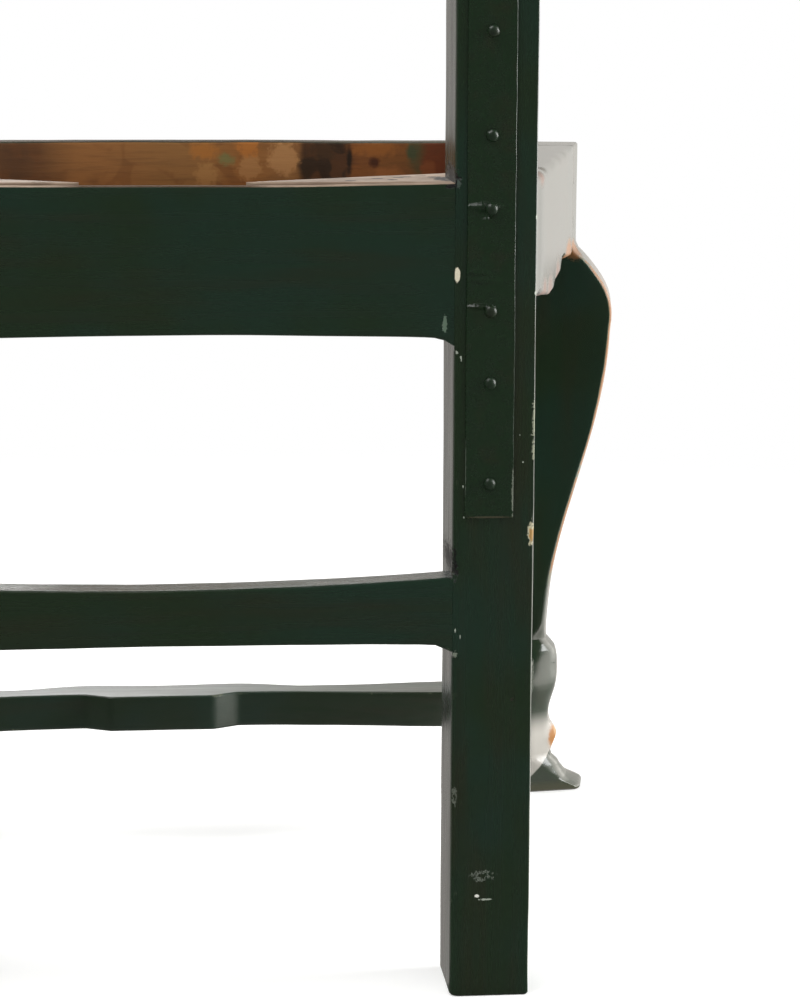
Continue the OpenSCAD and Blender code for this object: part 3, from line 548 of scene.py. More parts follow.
def carve(node, axis, materials, slot="painted_wood", *, radius, seed, spacing=8.0, turn=0.0, faces=4,
          rough=0.35, pick=None, lead=1.2, more=(), shape=None, smooth=None, passes=0, span=None, rub=None):
    """Rebuilds a CAD node as a hand-worked skin and lets it stand for the node.

    radius is one easing, a tuple with one for each corner, or a function of the station giving either.
    more adds stations, shape moves a finished ring point, smooth gives soften its share and rub gives
    rub_round its spread. span is the half length seen of a member with hidden tenons: its full section
    then runs a little past it.
    """
    solid = node_arrays(node)
    axes = axes_along(axis, turn)
    if span:
        seen = span - SEEN_INSIDE
        steps = list(np.linspace(-seen, seen, int(2 * span / spacing)))
        ends = (span + TENON_FROM, span + HIDDEN_RUN)
        places = [-e for e in reversed(ends)] + steps + list(ends)
    else:
        places = sorted(stations_of(solid, axes, spacing, lead) + list(more))
    rings, edges = [], []
    for number, station in enumerate(places):
        outline = section(solid, axes, min(seen, max(-seen, station)) if span else station)
        radii = radius(station) if callable(radius) else radius
        radii = radii if isinstance(radii, tuple) else (radii,)
        drift = 1 + EASING_DRIFT * noise.noise(Vector((station / EASING_DRIFT_RUN, seed, 0.0)))
        if number in (0, len(places) - 1):
            smaller = inset(outline, min(lead, max(radii)) * END_EASED)
            outline = outline if smaller is None else smaller
        ring, edge = rounded_ring(outline, tuple(r * drift for r in radii), faces)
        rings.append(ring)
        edges.append(edge)
    if smooth:
        soften(rings, places, smooth, passes)
    skin = []
    for ring, station in zip(rings, places):
        if rub and rub(station) > RUB_LEAST:
            ring = rub_round(ring, rub(station))
        middle = ring.mean(axis=0)
        worked = []
        for p in ring:
            place = axes[0] * station + axes[1] * p[0] + axes[2] * p[1]
            away = p - middle
            away = away / max(1e-6, math.hypot(*away))
            shift = uneven(place, BUMP, rough, seed)
            shift += uneven(place, RIPPLE, rough * RIPPLE_SHARE, seed + RIPPLE_SEED)
            if span:
                shift *= unit((span - abs(station)) / RAIL_END_HELD)
                shift -= DIVE if abs(station) > span + DIVE_FROM else 0.0
            place = place + (axes[1] * away[0] + axes[2] * away[1]) * shift
            worked.append(shape(place) if shape else place)
        skin.append(np.array(worked))
    place_piece(loft(node + "_worked", skin, edges, materials, pick), slot, node)


# Materials

DARK_GREEN = (22, 40, 20)
TEAL_GREEN = (19, 42, 29)
OLIVE_BLACK = (33, 35, 18)
RUBBED = (92, 96, 76)
CREAM = (214, 206, 182)
ORANGE = (124, 82, 36)
TAN = (150, 118, 84)
PINKISH = (150, 122, 104)
RAIL_PINK = (86, 60, 46)
KNEE_ORANGE = (112, 70, 20)
BLACK = (10, 12, 10)
WOOD_TAN = (150, 108, 66)
WOOD_BROWN = (112, 76, 44)
WOOD_DARK = (56, 40, 28)
SHAFT_DUST_AND_SHEEN = (178, 174, 166)
SOLE_DIRT = (70, 66, 40)
IRON_GREEN = (19, 39, 20)
IRON_OLIVE = (27, 37, 20)
IRON_BROWN = (58, 44, 36)
RUST = (96, 56, 34)
PAINT_IOR = 1.52

# The amount of wear, less a material's own, from which its paint is rubbed, and from which it is off

RUBBED_FROM = 1.02
BARE_FROM = 1.14
BARE_FULL = 1.20


# A mark is a chip, stain, scratch, painted shade or painted highlight: a patch at a place with half sizes
# along x, y and z. Its row goes on with a colour or None, a depth that sinks it, or raises it if negative,
# how soft and how ragged its rim is, and True if only the rim is seen.


def marks_at(level, rows, deep=None):
    """Marks on a face at one y, from rows that start with x, z and, if deep is given, two half sizes."""
    marks = []
    for x, z, size, *rest in rows:
        size = (size[0], deep, size[1]) if deep else size
        marks.append(((x, level, z), size, *rest))
    return tuple(marks)


def mark_cover(g, where, grit, place, size, soft, ragged, hollow=False):
    """How far a mark covers the surface, from 0 to 1."""
    away = g.vector("SUBTRACT", where, tuple(v * MM for v in place))
    away = g.vector("LENGTH", g.vector("DIVIDE", away, tuple(v * MM for v in size)))
    away = g.plus(away, g.times(g.minus(grit, 0.5), ragged))
    inside = g.step(away, 1.0 - soft, 1.0 + soft, 1.0, 0.0)
    return g.times(inside, g.step(away, 0.45, 0.75)) if hollow else inside


def streaks(g, where, axis, across, along, detail, rough):
    """Noise drawn out along an axis, with its scale across and along it."""
    scale = tuple(along if a == axis else across for a in "xyz")
    return g.noise(g.vector("MULTIPLY", where, scale), 1.0, detail, rough)


def put_marks(g, where, grit, marks, colour, height):
    """Lays the marks over a colour and a height; gives both and how much of the surface is marked."""
    marked = 0.0
    for place, size, stain, depth, *rim in marks:
        cover = mark_cover(g, where, grit, place, size, *rim)
        if stain:
            colour = g.mix(cover, colour, stain)
            marked = g.math("MAXIMUM", marked, cover)
        height = g.minus(height, g.times(cover, depth))
    return colour, height, marked


def put_surface(g, colour, roughness, height, strength, depth, fixed):
    """Ends a material: a shader with a bump of a strength and a depth in metres, and fixed inputs."""
    bump = g.first("ShaderNodeBump", {"Strength": strength, "Distance": depth, "Height": height})
    inputs = {"Base Color": colour, "Roughness": roughness, "Normal": bump, **fixed}
    g.node("ShaderNodeOutputMaterial", {"Surface": g.first("ShaderNodeBsdfPrincipled", inputs)})


def paint(name, axis, wear, seed, shine=0.22, relief=1.0, marks=(), worn=TAN, arris=None, tint=None):
    """Old green paint with brush marks, dents, colour drift, marks and wear along the arrises."""
    material, g = start_material(name)
    place, where = g.places(seed, seed * 0.7, seed * 0.3)
    drift = g.noise(where, 11.0, 3.0, 0.55)
    patch = streaks(g, where, axis, 40.0, 6.0, 3.0, 0.6)
    strokes = streaks(g, where, axis, 230.0, 9.0, 4.0, 0.6)
    dents = g.noise(where, 48.0, 2.0, 0.5)
    grit = g.noise(where, 85.0, 5.0, 0.65)
    fine = g.noise(where, 620.0, 3.0, 0.6)
    lean = g.noise(where, 14.0, 2.0, 0.5)
    colour = g.mix(g.step(drift, 0.38, 0.62), DARK_GREEN, TEAL_GREEN)
    colour = g.mix(g.times(g.step(patch, 0.47, 0.75), 0.7), colour, OLIVE_BLACK)
    if tint:
        colour = tint(g, place, colour)
    edge = g.edge_wear()
    if arris:
        edge = arris(g, place, edge)
    amount = g.times(g.plus(g.times(grit, 0.6), g.times(lean, 0.7)), edge)
    rub = g.step(amount, RUBBED_FROM - wear, BARE_FROM - wear)
    bare = g.step(amount, BARE_FROM - wear, BARE_FULL - wear)
    colour = g.mix(g.times(rub, 0.8), colour, RUBBED)
    colour = g.mix(bare, colour, worn)
    height = g.minus(g.plus(g.times(strokes, 0.35), dents), g.times(rub, 0.3))
    colour, height, marked = put_marks(g, place, fine, marks, colour, height)
    rough = g.step(strokes, 0.3, 0.7, shine, shine + 0.09 * relief)
    dull = g.math("MAXIMUM", g.times(rub, 0.2), g.times(marked, 0.3))
    put_surface(g, colour, g.plus(rough, dull), height, 0.5, 0.0009 * relief, {"IOR": PAINT_IOR})
    return material


def bare_wood(name, axis, seed, tones=None, marks=(), dull=0.6, gloss=0.5):
    """Unpainted inner wood: blotches, some grain, stains and dust."""
    material, g = start_material(name)
    place, where = g.places(seed, seed, seed)
    grain = streaks(g, where, axis, 330.0, 22.0, 5.0, 0.65)
    blotch = g.noise(where, 52.0, 2.0, 0.4, 0.6)
    fine = g.noise(where, 260.0, 3.0, 0.6)
    if tones:
        colour = tones(g, place, blotch)
    else:
        stain = g.noise(where, 26.0, 3.0, 0.5)
        colour = g.mix(g.step(blotch, 0.35, 0.65), WOOD_TAN, WOOD_BROWN)
        colour = g.mix(g.times(g.step(stain, 0.55, 0.7), 0.7), colour, WOOD_DARK)
    colour = g.mix(g.times(g.step(grain, 0.45, 0.7), 0.25), colour, WOOD_DARK)
    colour, height, _ = put_marks(g, place, fine, marks, colour, grain)
    rough = g.step(grain, 0.2, 0.8, dull, dull + 0.15)
    put_surface(g, colour, rough, height, 0.4, 0.0007, {"Specular IOR Level": gloss})
    return material


def iron(name, painted, seed, marks=(), wear=0.3, shine=0.2):
    """Forged iron, pitted, under the green paint or bare and rusty."""
    material, g = start_material(name)
    place, where = g.places(seed, seed, seed)
    pits = g.noise(where, 210.0, 4.0, 0.6)
    lumps = g.noise(where, 70.0, 3.0, 0.5)
    rust = g.noise(where, 60.0, 4.0, 0.6)
    fine = g.noise(where, 620.0, 3.0, 0.6)
    height = g.plus(g.times(pits, 0.25), lumps)
    if painted:
        colour = g.mix(g.step(rust, 0.5, 0.75), IRON_GREEN, IRON_OLIVE)
        rub = g.times(g.step(g.times(g.edge_wear(), rust), 0.75 - wear, 0.85 - wear), 0.7)
        colour = g.mix(rub, colour, RUBBED)
        roughness = g.step(pits, 0.3, 0.7, shine, shine + 0.1)
        fixed = {"Metallic": 0.0, "IOR": PAINT_IOR}
    else:
        colour = g.mix(g.step(rust, 0.4, 0.6), IRON_BROWN, RUST)
        roughness = g.step(pits, 0.3, 0.7, 0.5, 0.75)
        fixed = {"Metallic": 0.35}
    colour, height, marked = put_marks(g, place, fine, marks, colour, height)
    put_surface(g, colour, g.plus(roughness, g.times(marked, 0.3)), height, 0.6, 0.0008, fixed)
    return material


# The chair

PLAN_TURN = 11.917
POST_BACK = 187.8
STRAP_BACK = 189.3
STRETCHER_FACE = 183.0
FRONT_RAIL_BACK = -244.0
SEAT_TOP = 430.0
RAIL_LOW = 345.0
REAR_STRETCHER = (185.0, 229.0)

# Two patches of painted shade in the corners where the rail and the stretcher meet the photographed post,
# then the chips and scratches on its back face, with more black painted shade at these joints and a painted
# highlight on the rim of one paint loss

PALE_CHIP = (150, 158, 144)
POST_JOINT_SHADE = (
    ((-147.2, 170.0, 433.0), (2.0, 20.0, 5.0), BLACK, 6.0, 0.08, 5.0),
    ((-147.2, 170.0, 235.0), (2.0, 20.0, 6.0), BLACK, 6.0, 0.08, 5.0),
)
POST_MARKS = POST_JOINT_SHADE + marks_at(POST_BACK, (
    (-148.6, 383.6, (1.5, 2.5, 3.7), CREAM, -0.4, 0.12, 0.6),
    # black painted shade in the notch where the rail top meets the post
    (-148.4, 431.5, (1.5, 3.0, 4.0), BLACK, 0.9, 0.1, 3.8),
    (-149.0, 429.4, (0.9, 2.0, 1.8), (58, 74, 64), 0.4, 0.1, 4.2),
    (-189.1, 374.2, (0.7, 2.0, 1.0), PALE_CHIP, 0.4, 0.2, 0.8),
    (-189.2, 412.9, (0.6, 2.0, 1.3), PALE_CHIP, 0.4, 0.2, 0.8),
    (-183.3, 287.0, (0.4, 1.0, 0.45), PALE_CHIP, 0.4, 0.3, 0.4),
    (-181.6, 301.1, (0.25, 1.0, 0.25), PALE_CHIP, 0.4, 0.3, 0.4),
    (-189.0, 309.0, (1.2, 2.2, 8.0), (124, 128, 106), 0.5, 0.15, 4.2),
    (-188.9, 293.0, (0.9, 2.2, 5.5), (124, 128, 106), 0.5, 0.15, 4.2),
    (-188.0, 250.2, (1.9, 2.6, 5.4), (176, 170, 140), 0.4, 0.12, 2.4),
    (-188.2, 249.0, (1.3, 2.4, 3.4), (158, 120, 62), 0.6, 0.15, 1.8),
    (-178.4, 162.4, (1.9, 1.5, 1.9), None, 1.2, 0.5, 0.3),
    (-178.9, 161.6, (0.8, 1.0, 0.8), OLIVE_BLACK, 0.0, 0.4, 0.3),
    (-148.6, 186.0, (0.9, 2.5, 1.8), (104, 112, 98), 0.5, 0.12, 4.4),
    (-148.8, 199.0, (0.3, 1.5, 1.2), PALE_CHIP, 0.3, 0.15, 2.0),
    (-151.4, 195.4, (0.2, 1.5, 1.2), PALE_CHIP, 0.3, 0.15, 2.0),
    # black painted shade where the stretcher top meets the post
    (-148.4, 231.0, (1.4, 3.0, 4.0), BLACK, 0.9, 0.1, 3.8),
    (-149.0, 109.7, (1.3, 3.0, 4.8), (88, 94, 82), 0.5, 0.1, 2.4, True),
    (-163.6, 66.4, (4.4, 1.5, 2.0), (96, 104, 92), 0.5, 0.08, 4.6, True),
    # painted highlights: the near-white spot and the pale line on the raised rim of the C-shaped paint loss
    # above
    (-161.4, 55.4, (1.3, 1.5, 0.9), (212, 212, 202), -0.2, 0.15, 0.9),
    (-165.8, 53.4, (3.4, 1.5, 0.45), PALE_CHIP, -0.2, 0.3, 2.2),
    (-152.3, 274.6, (0.4, 1.5, 0.6), PALE_CHIP, 0.4, 0.2, 0.8),
    (-152.8, 258.4, (0.35, 1.5, 0.5), PALE_CHIP, 0.4, 0.2, 0.8),
    (-150.8, 341.0, (0.5, 2.0, 1.2), PALE_CHIP, 0.4, 0.12, 2.8),
    (-148.4, 343.5, (0.7, 2.0, 1.3), PALE_CHIP, 0.4, 0.12, 3.2),
))


# The photographed end of the rear rail, with black painted shade in the corners where its top and bottom
# meet the post

RAIL_MARKS = marks_at(POST_BACK, (
    (-142.4, 358.1, (1.2, 2.0, 4.4), (84, 104, 86), 0.5, 0.15, 2.4),
    (-145.4, 429.6, (2.6, 6.0, 1.8), BLACK, 0.9, 0.1, 4.2),
    (-146.0, 344.6, (1.2, 2.0, 1.6), BLACK, 0.5, 0.12, 3.4),
))


# Chips along the arrises of the rear stretcher, and black painted shade in the corner where its top meets
# the post

CHIP_DEEP = 14.0
STRETCHER_MARKS = marks_at(STRETCHER_FACE, (
    (-115.3, 226.4, (2.6, 0.9), (190, 192, 184), 0.4, 0.15, 2.8),
    (-121.4, 226.8, (1.2, 0.6), (150, 152, 142), 0.4, 0.15, 3.0),
    (-86.0, 227.4, (1.8, 0.6), (60, 54, 48), 0.4, 0.15, 3.0),
    (-36.6, 188.4, (2.6, 1.0), (176, 112, 58), 0.4, 0.15, 3.0),
    (-45.0, 188.6, (2.4, 1.3), (190, 184, 164), 0.4, 0.15, 3.4),
    (-145.6, 228.6, (2.6, 1.8), BLACK, 0.9, 0.1, 4.2),
), CHIP_DEEP)


# Ridges of thick paint that run from the strap's edge to the nails, and the rubbed end

RIDGE_DEEP = 2.0
STRAP_MARKS = marks_at(STRAP_BACK, (
    (-162.0, 418.2, (6.4, 1.7), None, -7.0, 0.8, 0.3),
    (-161.0, 413.6, (4.4, 1.4), None, 4.0, 0.8, 0.3),
    (-158.6, 385.0, (4.4, 1.4), None, -2.2, 0.8, 0.4),
    (-163.4, 380.6, (5.6, 1.4), None, -2.2, 0.8, 0.4),
    (-160.4, 367.4, (5.4, 1.1), None, -7.0, 0.8, 0.4),
    (-165.0, 366.2, (1.6, 1.8), None, -5.0, 0.7, 0.4),
    (-178.2, 271.0, (0.8, 11.0), (96, 102, 88), 0.2, 0.3, 2.6),
    (-153.2, 284.0, (0.4, 15.0), (66, 76, 64), 0.2, 0.3, 2.6),
    (-166.0, 258.6, (10.0, 0.5), (66, 62, 40), 0.2, 0.5, 1.4),
), RIDGE_DEEP)


# Colours along the front rail's inner face, each at its x, on a ramp as long as RAMP_LONG

RAMP_LONG = 400.0
FRONT_RAIL_TONES = (
    (-196, (88, 42, 18)),
    (-178, (94, 46, 20)),
    (-172, (76, 62, 34)),
    (-163, (104, 64, 28)),
    (-131, (106, 62, 26)),
    (-122, (46, 31, 18)),
    (-97, (48, 33, 19)),
    (-91, (128, 88, 48)),
    (-58, (126, 82, 40)),
    (-20, (124, 86, 46)),
    (40, (126, 84, 44)),
    (90, (80, 52, 30)),
    (140, (126, 86, 48)),
    (196, (104, 70, 38)),
)
BLOTCH_SHIFT = 16.0


def front_rail_tones(g, place, blotch):
    """Colours along the bare inner face of the front rail, shifted a little by the blotches."""
    shift = g.times(g.minus(blotch, 0.5), BLOTCH_SHIFT * MM)
    along = g.plus(g.times(g.plus(g.split(place)[0], shift), 1 / (RAMP_LONG * MM)), 0.5)
    colour = g.ramp(along, [(0.5 + x / RAMP_LONG, tone) for x, tone in FRONT_RAIL_TONES])
    return g.mix(g.times(g.step(blotch, 0.5, 0.6), 0.4), colour, (96, 58, 28))


# Round stains and knots on the bare inner face of the front rail, deep enough for its bow

STAIN_DEEP = 60.0
FRONT_RAIL_MARKS = marks_at(FRONT_RAIL_BACK, (
    (-62.0, 413.0, (7.4, 7.8), (142, 100, 58), 0.1, 0.3, 1.8),
    (-83.6, 418.8, (9.6, 9.8), (150, 108, 66), 0.1, 0.25, 1.5),
    (-46.8, 418.6, (5.0, 3.8), (104, 96, 56), 0.1, 0.5, 1.8),
    (-61.0, 427.0, (7.0, 6.0), (152, 94, 40), 0.1, 0.4, 2.0),
    (-32.0, 424.0, (9.0, 5.0), (144, 92, 40), 0.1, 0.5, 2.0),
    (-34.0, 408.0, (7.0, 8.0), (140, 100, 56), 0.1, 0.4, 2.0),
    (-142.7, 416.6, (3.2, 3.4), (62, 31, 12), 0.6, 0.5, 1.4),
    (-143.0, 425.5, (14.0, 4.4), (124, 74, 30), 0.1, 0.6, 2.0),
    (-152.0, 409.0, (9.0, 5.0), (118, 70, 32), 0.1, 0.5, 2.0),
    (-126.6, 418.0, (1.6, 9.0), (36, 25, 14), 0.2, 0.6, 1.4),
    (-110.0, 424.0, (8.0, 5.0), (60, 40, 22), 0.1, 0.5, 2.0),
    (-167.5, 424.0, (3.6, 5.5), (60, 64, 40), 0.1, 0.5, 1.6),
    (-178.0, 413.0, (5.0, 5.0), (108, 58, 28), 0.1, 0.4, 1.8),
), STAIN_DEEP)


def board_dust_and_sheen(g, place, blotch):
    """Pinkish dusty ground of the corner boards, painted pale as a reflection of their tops seen at a
    grazing angle.
    """
    return g.mix(g.step(blotch, 0.35, 0.65), (168, 146, 126), (142, 122, 104))


BOARD_FROM = 147.0
BOARD_LONGER = 1.32


def thin_end(place):
    """Draws the corner board's thin end further along the rear rail's lip."""
    out = abs(place[0])
    if out < BOARD_FROM:
        out = BOARD_FROM - (BOARD_FROM - out) * BOARD_LONGER
    return np.array((math.copysign(out, place[0]), place[1], place[2]))


# Dark nicks near the inner edge of the photographed corner board, each at its x and y, and painted shade in
# the gap against the post

NICKS = (
    (-96.0, 168.0), (-110.6, 151.5), (-122.3, 143.4), (-127.0, 136.0), (-135.5, 126.5), (-118.0, 160.0),
)
BOARD_MARKS = (
    *(((x, y, SEAT_TOP), (3.0, 2.6, 2.0), (20, 17, 13), 0.5, 0.1, 2.2) for x, y in NICKS),
    # painted shade in the gap between the board and the post
    ((-144.0, 150.0, SEAT_TOP), (5.0, 16.0, 3.0), (40, 38, 32), 0.5, 0.1, 3.8),
)


def rear_top_wear_and_sheen(g, place, blotch):
    """The rear rail's lip: rubbed brown in the middle of the chair, towards the posts pinkish dust that is
    also a painted reflection of its top seen at a grazing angle.
    """
    out = g.math("ABSOLUTE", g.split(place)[0])
    return g.mix(g.step(out, 0.040, 0.056), (78, 56, 34), board_dust_and_sheen(g, place, blotch))


def front_top_tones(g, place, blotch):
    """The front rail's top: dark brown in the middle of the chair, grey towards the legs."""
    out = g.math("ABSOLUTE", g.split(place)[0])
    return g.mix(g.step(out, 0.05, 0.17), (50, 40, 26), (74, 70, 58))


LOOKS_ALONG = 0.8


def bare_faces(axis, sign, top=False):
    """Second material on faces that look along an axis; with top, third on faces that look up."""
    index = "xyz".index(axis)

    def pick(polygon):
        if polygon.normal[index] * sign > LOOKS_ALONG:
            return 1
        return 2 if top and polygon.normal[2] > LOOKS_ALONG else 0

    return pick


def post_gap():
    """Half the clear width between the rear posts."""
    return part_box("rear_post_left")[0].x / MM


CORNER_STEPS = 5
SHARP = 0.01


def corner_ring(corners, radii):
    """Ring through square corners, each eased with its own radius."""
    ring, edge = [], []
    count = len(corners)
    for i, radius in enumerate(radii):
        corner = np.array(corners[i])
        back = np.array(corners[i - 1]) - corner
        on = np.array(corners[(i + 1) % count]) - corner
        on_length = math.hypot(*on)
        back, on = back / math.hypot(*back), on / on_length
        if radius <= 0:
            ring.append(corner)
            edge.append(0.0)
        else:
            for k in range(CORNER_STEPS):
                a = 0.5 * math.pi * k / (CORNER_STEPS - 1)
                ring.append(corner + back * radius * (1 - math.sin(a)) + on * radius * (1 - math.cos(a)))
                edge.append(1.0)
        start = corner + on * max(radius, SHARP)
        end = corner + on * (on_length - max(radii[(i + 1) % count], SHARP))
        ring += along_side(start, end)
        edge += [0.0] * 3
    return np.array(ring), np.array(edge)


REAR_RAIL_STEPS = 60
REAR_RAIL_RADII = (1.6, 1.2, 1.5, 0.0, 1.5, 1.8)
OUTER_SKIN = 3.0
WAVES_OUT = (BUMP, 0.35, 3.0)
WAVES_UP = (60.0, 0.3, 9.0)


def make_rear_rail(materials):
    """The rear rail keeps a thin lip above its seat ledge, so its section is an L."""
    solid = node_arrays("rear_rail")
    axes = axes_along("x")
    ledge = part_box("corner_board_left")[0].z / MM
    lip_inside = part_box("corner_board_left")[1].y / MM
    seen = post_gap() - SEEN_INSIDE
    ends = (seen + TENON_FROM, post_gap() + HIDDEN_RUN)
    rings, edges = [], []
    for station in (-ends[1], -ends[0], *np.linspace(-seen, seen, REAR_RAIL_STEPS), *ends):
        outline = section(solid, axes, min(seen, max(-seen, station)))
        inner, low = outline.min(axis=0)
        outer, high = outline.max(axis=0)
        corners = [(outer, low), (outer, high), (lip_inside, high)]
        corners += [(lip_inside, ledge), (inner, ledge), (inner, low)]
        ring, edge = corner_ring(corners, REAR_RAIL_RADII)
        held = unit((seen - abs(station)) / RAIL_END_HELD)
        line = []
        for p in ring:
            place = np.array((station, p[0], p[1]))
            place[1] += held * uneven(place, *WAVES_OUT)
            if abs(station) > seen + DIVE_FROM and p[0] > outer - OUTER_SKIN:
                place[1] -= DIVE
            place[2] += held * uneven(place, *WAVES_UP)
            line.append(place)
        rings.append(np.array(line))
        edges.append(edge)
    piece = loft("rear_rail_worked", rings, edges, materials, bare_faces("y", -1.0, top=True))
    place_piece(piece, "painted_wood", "rear_rail")


NAIL_RADIUS = 3.3
NAIL_PROUD = 2.6
NAIL_SUNK = 0.25
NAIL_BASE = 1.8
HEAD_DEEP = 1.9
HEADS_APART = 6.0
NAIL_TILT = 0.12
NAIL_TILT_STEP = 3.7
NAIL_RAGGED = 0.09
NAIL_LUMPS = 1.3
NAIL_FULLNESS = 0.9
NAIL_AROUND = 20
NAIL_ROWS = 6


def make_nail_heads(node, material, seed):
    """Hand-forged nail heads: flattened uneven domes, one for each nail of a CAD group."""
    points, _ = node_arrays(node)
    face = points[:, 1].max()
    heads = points[points[:, 1] > face - HEAD_DEEP]
    heads = heads[np.argsort(-heads[:, 2])]
    heads = np.split(heads, np.flatnonzero(np.diff(heads[:, 2]) < -HEADS_APART) + 1)
    base = face - NAIL_BASE - NAIL_SUNK
    verts, faces = [], []
    for number, head in enumerate(heads):
        middle = head.mean(axis=0)
        tilt = NAIL_TILT * noise.noise(Vector((number * NAIL_TILT_STEP, seed, 0.0)))
        start = len(verts)
        for row in range(NAIL_ROWS):
            share = row / NAIL_ROWS
            tall = NAIL_PROUD * math.sin(share * math.pi / 2)
            wide = NAIL_RADIUS * math.cos(share * math.pi / 2) ** NAIL_FULLNESS
            for a in np.arange(NAIL_AROUND) * 2 * math.pi / NAIL_AROUND:
                x, z = math.cos(a), math.sin(a)
                lump = noise.noise(Vector((x * NAIL_LUMPS, z * NAIL_LUMPS, number + seed)))
                reach = wide * (1 + NAIL_RAGGED * lump)
                x, z = reach * x, reach * z
                verts.append((middle[0] + x, base + tall + tilt * x * share, middle[2] + z))
        verts.append((middle[0], base + NAIL_PROUD, middle[2]))
        sides = ring_sides(NAIL_ROWS, NAIL_AROUND, start)
        faces += [(a, a + NAIL_AROUND, b + NAIL_AROUND, b) for a, b in sides[:-NAIL_AROUND]]
        faces += [(a, len(verts) - 1, b) for a, b in sides[-NAIL_AROUND:]]
        faces.append(tuple(range(start, start + NAIL_AROUND)))
    piece = add_mesh(node + "_forged", verts, faces, [material])
    for polygon in piece.data.polygons:
        polygon.use_smooth = True
    place_piece(piece, "painted_iron", node)


def dress_cad(node, material):
    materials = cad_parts[node].data.materials
    materials.clear()
    materials.append(material)


PEG_SHORTENED = 6.0
OWNER_ROUNDS = 12


def make_short_pegs(node, material):
    """The pegs of a CAD group with their ends drawn under the rubbed wood."""
    points, triangles = node_arrays(node)
    owner = np.arange(len(points))
    for _ in range(OWNER_ROUNDS):
        np.minimum.at(owner, triangles, owner[triangles].min(axis=1, keepdims=True))
    for group in np.unique(owner):
        chosen = owner == group
        spread = points[chosen] - points[chosen].mean(axis=0)
        axis = np.linalg.svd(spread, full_matrices=False)[2][0]
        along = spread @ axis
        shorter = np.clip(along, along.min() + PEG_SHORTENED, along.max() - PEG_SHORTENED)
        points[chosen] += np.outer(shorter - along, axis)
    place_piece(add_mesh(node + "_drawn", points, triangles.tolist(), [material]), "painted_wood", node)


UPPER_POST = 262.0
JOINT_STATIONS = (344.6, 345.6, 431.4, 432.6, 184.6, 185.6, 228.4, 229.6)


def post_easing(sign):
    """Corner easing of a rear post: a wide inner rear arris, none where a rail meets it flush."""

    def radii(station):
        joint = RAIL_LOW < station < SEAT_TOP + 2 or REAR_STRETCHER[0] < station < REAR_STRETCHER[1]
        inner = 0.35 if joint else 4.6
        outer = 1.0 if station > UPPER_POST else 1.5
        front = 1.8
        return (inner, outer, front, front) if sign < 0 else (outer, inner, front, front)

    return radii


# The front leg by height: the easing of its corners, and how far rubbing has spread round its rings

LEG_STATIONS = tuple(float(z) for z in np.arange(2.9, 118.0, 4.0))
EASING_Z = (0.0, 6.0, 14.0, 26.0, 34.0, 58.0, 62.0, 71.0, 75.0, 83.0, 87.0, 104.0, 112.0, 134.0, 150.0)
EASING = (2.0, 5.0, 13.0, 13.0, 8.0, 8.0, 13.0, 13.0, 5.0, 5.0, 13.0, 13.0, 2.4, 2.2, 3.0)
RUB_Z = (0.0, 3.0, 8.0, 22.0, 28.0, 56.0, 64.0, 106.0, 114.0)
RUB_SPREAD = (0.0, 3.0, 7.5, 7.5, 0.0, 0.0, 4.5, 4.5, 0.0)


def leg_easing(station):
    """Corner easing up the leg: a rubbed foot, a nearly round block with one flat facet, crisp above."""
    return curve(station, EASING_Z, EASING)


def leg_softness(station):
    """How much the carver rounded the leg along its length."""
    return 0.0 if station < 4 or 25 < station < 32 or station > 140 else 0.5


def leg_rub(station):
    """How far the foot and the stretcher block are rubbed round."""
    return curve(station, RUB_Z, RUB_SPREAD)


# The front leg against its sawn blank: the heights FOOT_Z come to FOOT_Z_SET, the toe is pulled in,
# the rear is pushed out and the front pulled in near the outer side LEG_OUT, and the spur is pushed
# out. Every OUT is measured from the chair's middle, and every Z is a height.

FOOT_Z = (0.0, 6.0, 20.0, 31.0, 46.0, 500.0)
FOOT_Z_SET = (0.0, 5.0, 14.6, 26.0, 46.0, 500.0)
TOE_OUT = 250.0
TOE_WIDE = 22.0
TOE_Z = (0.0, 3.0, 6.0, 8.5, 11.0, 14.0, 20.0, 26.0)
TOE_PULL = (0.0, 1.8, 3.6, 4.2, 2.8, 0.6, -2.4, 0.0)
LEG_FRONT = 262.0
LEG_DEEP = 66.0
BACK_Z = (106.0, 200.0, 311.0, 340.0, 356.0, 366.0)
BACK_PUSH = (0.0, 1.0, 1.6, 4.6, 4.6, 0.0)
FRONT_PULL_Z = (120.0, 230.0, 311.0, 335.0, 366.0)
FRONT_PULL = (0.0, 0.8, 1.3, 0.0, 0.0)
LEG_OUT_Z = (106.0, 150.0, 200.0, 250.0, 311.0, 345.0, 366.0)
LEG_OUT = (246.0, 252.0, 264.0, 278.0, 289.0, 281.0, 268.0)
LEG_OUT_WIDE = 16.0
SPUR_OUT = 255.0
SPUR_WIDE = 4.0
SPUR_Z = 38.5
SPUR_TALL = 5.5
SPUR_PUSH = 2.2


def leg_shape(place):
    """Sets the instep lower and rounder than the sawn blank, and the spur a little prouder."""
    out = abs(place[0])
    z = curve(place[2], FOOT_Z, FOOT_Z_SET)
    out -= unit((out - TOE_OUT) / TOE_WIDE) * curve(z, TOE_Z, TOE_PULL)
    rear = unit((place[1] + LEG_FRONT) / LEG_DEEP)
    outer = unit(1.0 - (curve(z, LEG_OUT_Z, LEG_OUT) - out) / LEG_OUT_WIDE)
    out += outer * rear * curve(z, BACK_Z, BACK_PUSH)
    out -= outer * (1.0 - rear) * curve(z, FRONT_PULL_Z, FRONT_PULL)
    spur = unit((out - SPUR_OUT) / SPUR_WIDE)
    out += spur * SPUR_PUSH * math.exp(-(((z - SPUR_Z) / SPUR_TALL) ** 2))
    return np.array((math.copysign(out, place[0]), place[1], z))


